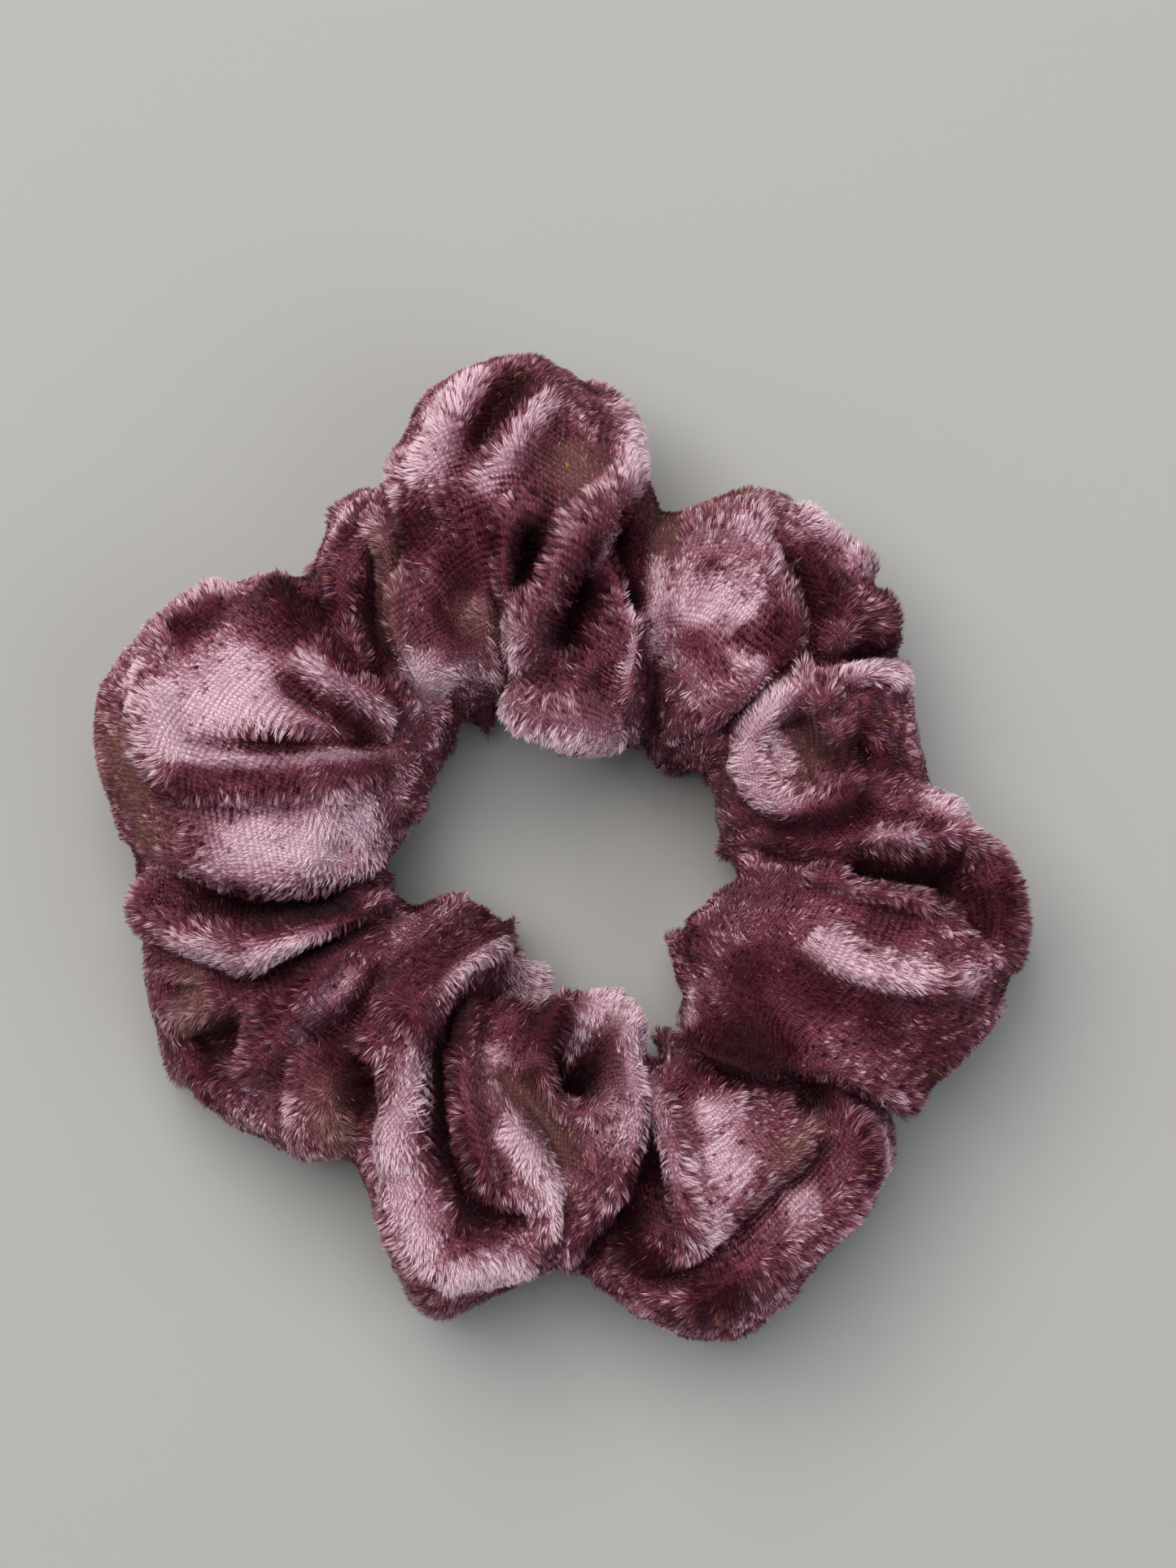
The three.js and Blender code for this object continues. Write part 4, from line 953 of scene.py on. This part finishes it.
def braid_material():
    m = Nodes("braided_elastic", Roughness=0.7)
    braid = m.bands("DIAGONAL", 165, 14, 1.6, 1.2)
    return m.colour(m.ramp(braid, [(0.1, (0.5, 0.47, 0.42)), (0.6, (0.8, 0.77, 0.71))]))


def thread_material():
    m = Nodes("twisted_thread", Roughness=0.5)
    plies = m.bands("DIAGONAL", 160, 1.6, 3.0)
    return m.colour(m.ramp(plies, [(0.1, (0.06, 0.012, 0.025)), (0.8, (0.2, 0.06, 0.1))]))


# ---- the velvet's pieces ----

SHEET_LENGTH, SHEET_WIDTH = 400, 120  # of the flat strip


def finish_piece(piece, material, slot, *nodes):
    """Give a piece its look, and hide the CAD nodes that it stands for."""
    piece.data.materials.append(material)
    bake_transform(piece)
    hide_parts(*nodes)


# The cloth, with the painted light and shade of its pile and its painted brown sheen.
cloth, PAINTED_LIGHT_AND_SHADE, PAINTED_BROWN_SHEEN = sculpt()
points, facts, row = blades(cloth, PAINTED_LIGHT_AND_SHADE, PAINTED_BROWN_SHEEN)
PILE = pile_material()
for k in range(PILE_PIECES):
    mine = (row * PILE_PIECES) // ROWS == k
    pile = pile_piece(f"velvet_pile_{k + 1}", points[mine], {key: v[mine] for key, v in facts.items()})
    finish_piece(pile, PILE, "velvet", *COVER_NODES)

seamed = ends_in_seam(cloth)
cover = grid_mesh("velvet_cover", seamed)
TURNED_IN = (seamed.shape[1] - cloth.shape[1]) // 2  # columns that each long edge gained
# The ground under the tufts gets the same painted light and shade and painted brown sheen.
for key, field in {"tone_and_painted_light": PAINTED_LIGHT_AND_SHADE, "brown_sheen": PAINTED_BROWN_SHEEN}.items():
    value = np.pad(field, ((0, 0), (TURNED_IN, TURNED_IN))).ravel().astype(np.float32)
    cover.data.attributes.new(key, "FLOAT", "POINT").data.foreach_set("value", value)
finish_piece(cover, ground_material(), "velvet", *COVER_NODES)

# ---- the elastic and the sewing threads ----

ELASTIC_THICK, ELASTIC_WIDE = 1.2, 6.0
ELASTIC_RADIUS = ELASTIC_OUTSIDE - ELASTIC_THICK / 2
LIFT = 1.4  # of the elastic's outer end over its inner one
LAP_START, LAP_END, LAP_CLEAR, LAP_SETTLED = -33, -7, -6, 16  # degrees
CORDS, CORD_DEEP, PLAIT_DEEP = 11, 0.07, 0.06  # of the braid
TACK_START, TACK_END, TACK_ROWS = -27, -13, 8
TACK_HALF_HEIGHT, TACK_STAND, TACK_RADIUS = 2.3, 0.35, 0.2
STITCH, STITCH_DIP = 2.5, 0.15
SEAM_HALF_WIDTH = 3.4  # of the closing seam's loop
PLIES, LAY = 3, 1.1  # of a thread, and the length in which they go round once
PLY_DEEP = 0.16  # of the thread's radius, either way


def outward(degrees):
    ring = np.radians(degrees)
    return np.stack([np.cos(ring), np.sin(ring), 0 * ring], -1)


def elastic():
    """A flat braid standing on edge, ribbed along its length, its outer end over its inner one."""
    degrees = np.linspace(LAP_START, 360 + LAP_END, 700)
    t = np.clip((degrees - LAP_CLEAR) / (LAP_SETTLED - LAP_CLEAR), 0, 1)
    distance = ELASTIC_RADIUS + LIFT * (1 - t * t * (3 - 2 * t))
    turn = np.linspace(0, 2 * np.pi, 72, endpoint=False)
    x, y = (np.sign(f) * np.abs(f) ** 0.35 for f in (np.cos(turn), np.sin(turn)))
    cross = np.sign(np.sin(y * 2 * CORDS)) * 1.5
    plait = PLAIT_DEEP * np.sin(degrees[:, None] * 4.5 + cross) * (np.abs(x) > 0.8)
    rib = CORD_DEEP * np.abs(np.sin(y * CORDS)) - CORD_DEEP
    section = np.stack([x * (ELASTIC_THICK / 2 + rib + plait), y * ELASTIC_WIDE / 2 + 0 * plait], -1)
    return swept("elastic_band", on_ring(degrees, distance, TUNNEL_HEIGHT), outward(degrees), section)


def thread(name, path, face, radius, ring=False):
    """A three-ply twisted thread along a path."""
    steps = np.linalg.norm(np.diff(path, axis=0, prepend=path[:1]), axis=-1)
    twist = np.cumsum(steps) * 2 * np.pi / LAY
    if ring:  # so that the plies meet themselves
        thirds = PLIES * twist[-1] / 2 / np.pi
        twist *= np.round(thirds) / thirds
    turn = np.linspace(0, 2 * np.pi, 12, endpoint=False)
    reach = radius * (1 - PLY_DEEP + PLY_DEEP * np.cos(PLIES * turn + twist[:, None]))
    section = reach[..., None] * np.stack([np.cos(turn), np.sin(turn)], -1)
    return swept(name, path, face, section, ring)


def long_seam(name, side):
    """One thread of the lockstitch along the bottom of the tunnel."""
    degrees = np.linspace(0, 360, 1400, endpoint=False)
    stitches = round(2 * np.pi * SEAM_RADIUS / STITCH)
    dip = STITCH_DIP * np.clip(np.cos(np.radians(degrees) * stitches), 0, 1) ** 4
    distance = SEAM_RADIUS + side * (THREAD_OFFSET - dip)
    return thread(name, on_ring(degrees, distance, SEAM_HEIGHT), outward(degrees), THREAD_RADIUS, True)


def closing_seam(name, node):
    """One thread of the seam that goes once round the tube, where the CAD has it."""
    low, high = (np.array(corner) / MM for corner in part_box(node))
    middle = (low + high) / 2
    at = np.degrees(math.atan2(middle[1] - CENTRE[1], middle[0] - CENTRE[0]))
    turn = np.linspace(0, 2 * np.pi, 160, endpoint=False)[:, None]
    half_high = (high[2] - low[2]) / 2 - THREAD_RADIUS
    spoke, up = outward(np.array([at])), np.array([[0, 0, 1]])
    face = SEAM_HALF_WIDTH * np.cos(turn) * spoke + half_high * np.sin(turn) * up
    return thread(name, middle + face, face, THREAD_RADIUS, True)


def tack():
    """The zigzag through the elastic's lapped ends."""
    rows = np.arange(TACK_ROWS)
    turns = np.linspace(TACK_START, TACK_END, TACK_ROWS)
    swing = TUNNEL_HEIGHT + TACK_HALF_HEIGHT * (-1.0) ** (rows + 1)
    t = np.linspace(0, TACK_ROWS - 1, 260)
    degrees, height = np.interp(t, rows, turns), np.interp(t, rows, swing)
    distance = ELASTIC_RADIUS + LIFT + ELASTIC_THICK / 2 + TACK_STAND + TACK_RADIUS
    path = on_ring(degrees, distance, height)
    return thread("elastic_tack_thread_twisted", path, outward(degrees), TACK_RADIUS)


def sew_seams(stitch, side):
    """The thread on one side of the long seam and of the closing seam."""
    seam, closing = f"long_seam_{stitch}_thread", f"closing_seam_{stitch}_thread"
    finish_piece(long_seam(seam, side), THREADED, "thread", *(f"{seam}_{part}" for part in PARTS))
    finish_piece(closing_seam(f"{closing}_twisted", closing), THREADED, "thread", closing)


THREADED = thread_material()
PARTS = ("left", "right_upper", "right_lower")  # of what the CAD has to cut at X = 0
sew_seams("needle", 1)
finish_piece(tack(), THREADED, "thread", "elastic_tack_thread")
sew_seams("bobbin", -1)
finish_piece(elastic(), braid_material(), "elastic", *(f"elastic_{part}" for part in PARTS))

# ---- stage ----

bpy.ops.mesh.primitive_plane_add(size=3, location=(0, 0, -0.0003))
floor = bpy.context.object
floor.name = "floor"
floor.data.materials.append(Nodes("floor", Roughness=0.9, Base_Color=(0.38, 0.374, 0.362, 1)).material)

world = bpy.data.worlds.new("world")
bpy.context.scene.world = world
world.use_nodes = True
sky = world.node_tree.nodes["Background"]
sky.inputs["Color"].default_value = (0.75, 0.8, 0.85, 1)
sky.inputs["Strength"].default_value = 0.28
bpy.context.scene.view_settings.view_transform = "Standard"


def lamp(name, where, watts, colour):
    """A soft square light, 0.9 m wide, that looks at the middle of the ring."""
    light = bpy.data.lights.new(name, "AREA")
    light.size, light.energy, light.color = 0.9, watts, colour
    obj = in_scene(name, light)
    obj.location = where
    obj.rotation_euler = (Vector((0, 0, 0.01)) - Vector(where)).to_track_quat("-Z", "Y").to_euler()


lamp("window", (-0.25, 0.35, 1.0), 14.5, (1, 0.975, 0.94))
lamp("fill", (0.7, -0.3, 0.9), 3.5, (0.85, 0.92, 1))

camera_data = bpy.data.cameras.new("camera")
camera = in_scene("camera", camera_data)
bpy.context.scene.camera = camera
camera_data.sensor_fit = "VERTICAL"
camera_data.sensor_height = 36
camera_data.lens = camera_data.sensor_height * VIEW_DISTANCE / VIEW_SPAN
camera_data.clip_start = 0.02
line_of_sight = Vector((0, -math.sin(VIEW_TILT), math.cos(VIEW_TILT)))
camera.location = Vector(VIEW_AIM) * MM + line_of_sight * VIEW_DISTANCE * MM
camera.rotation_euler = (VIEW_TILT, 0, 0)
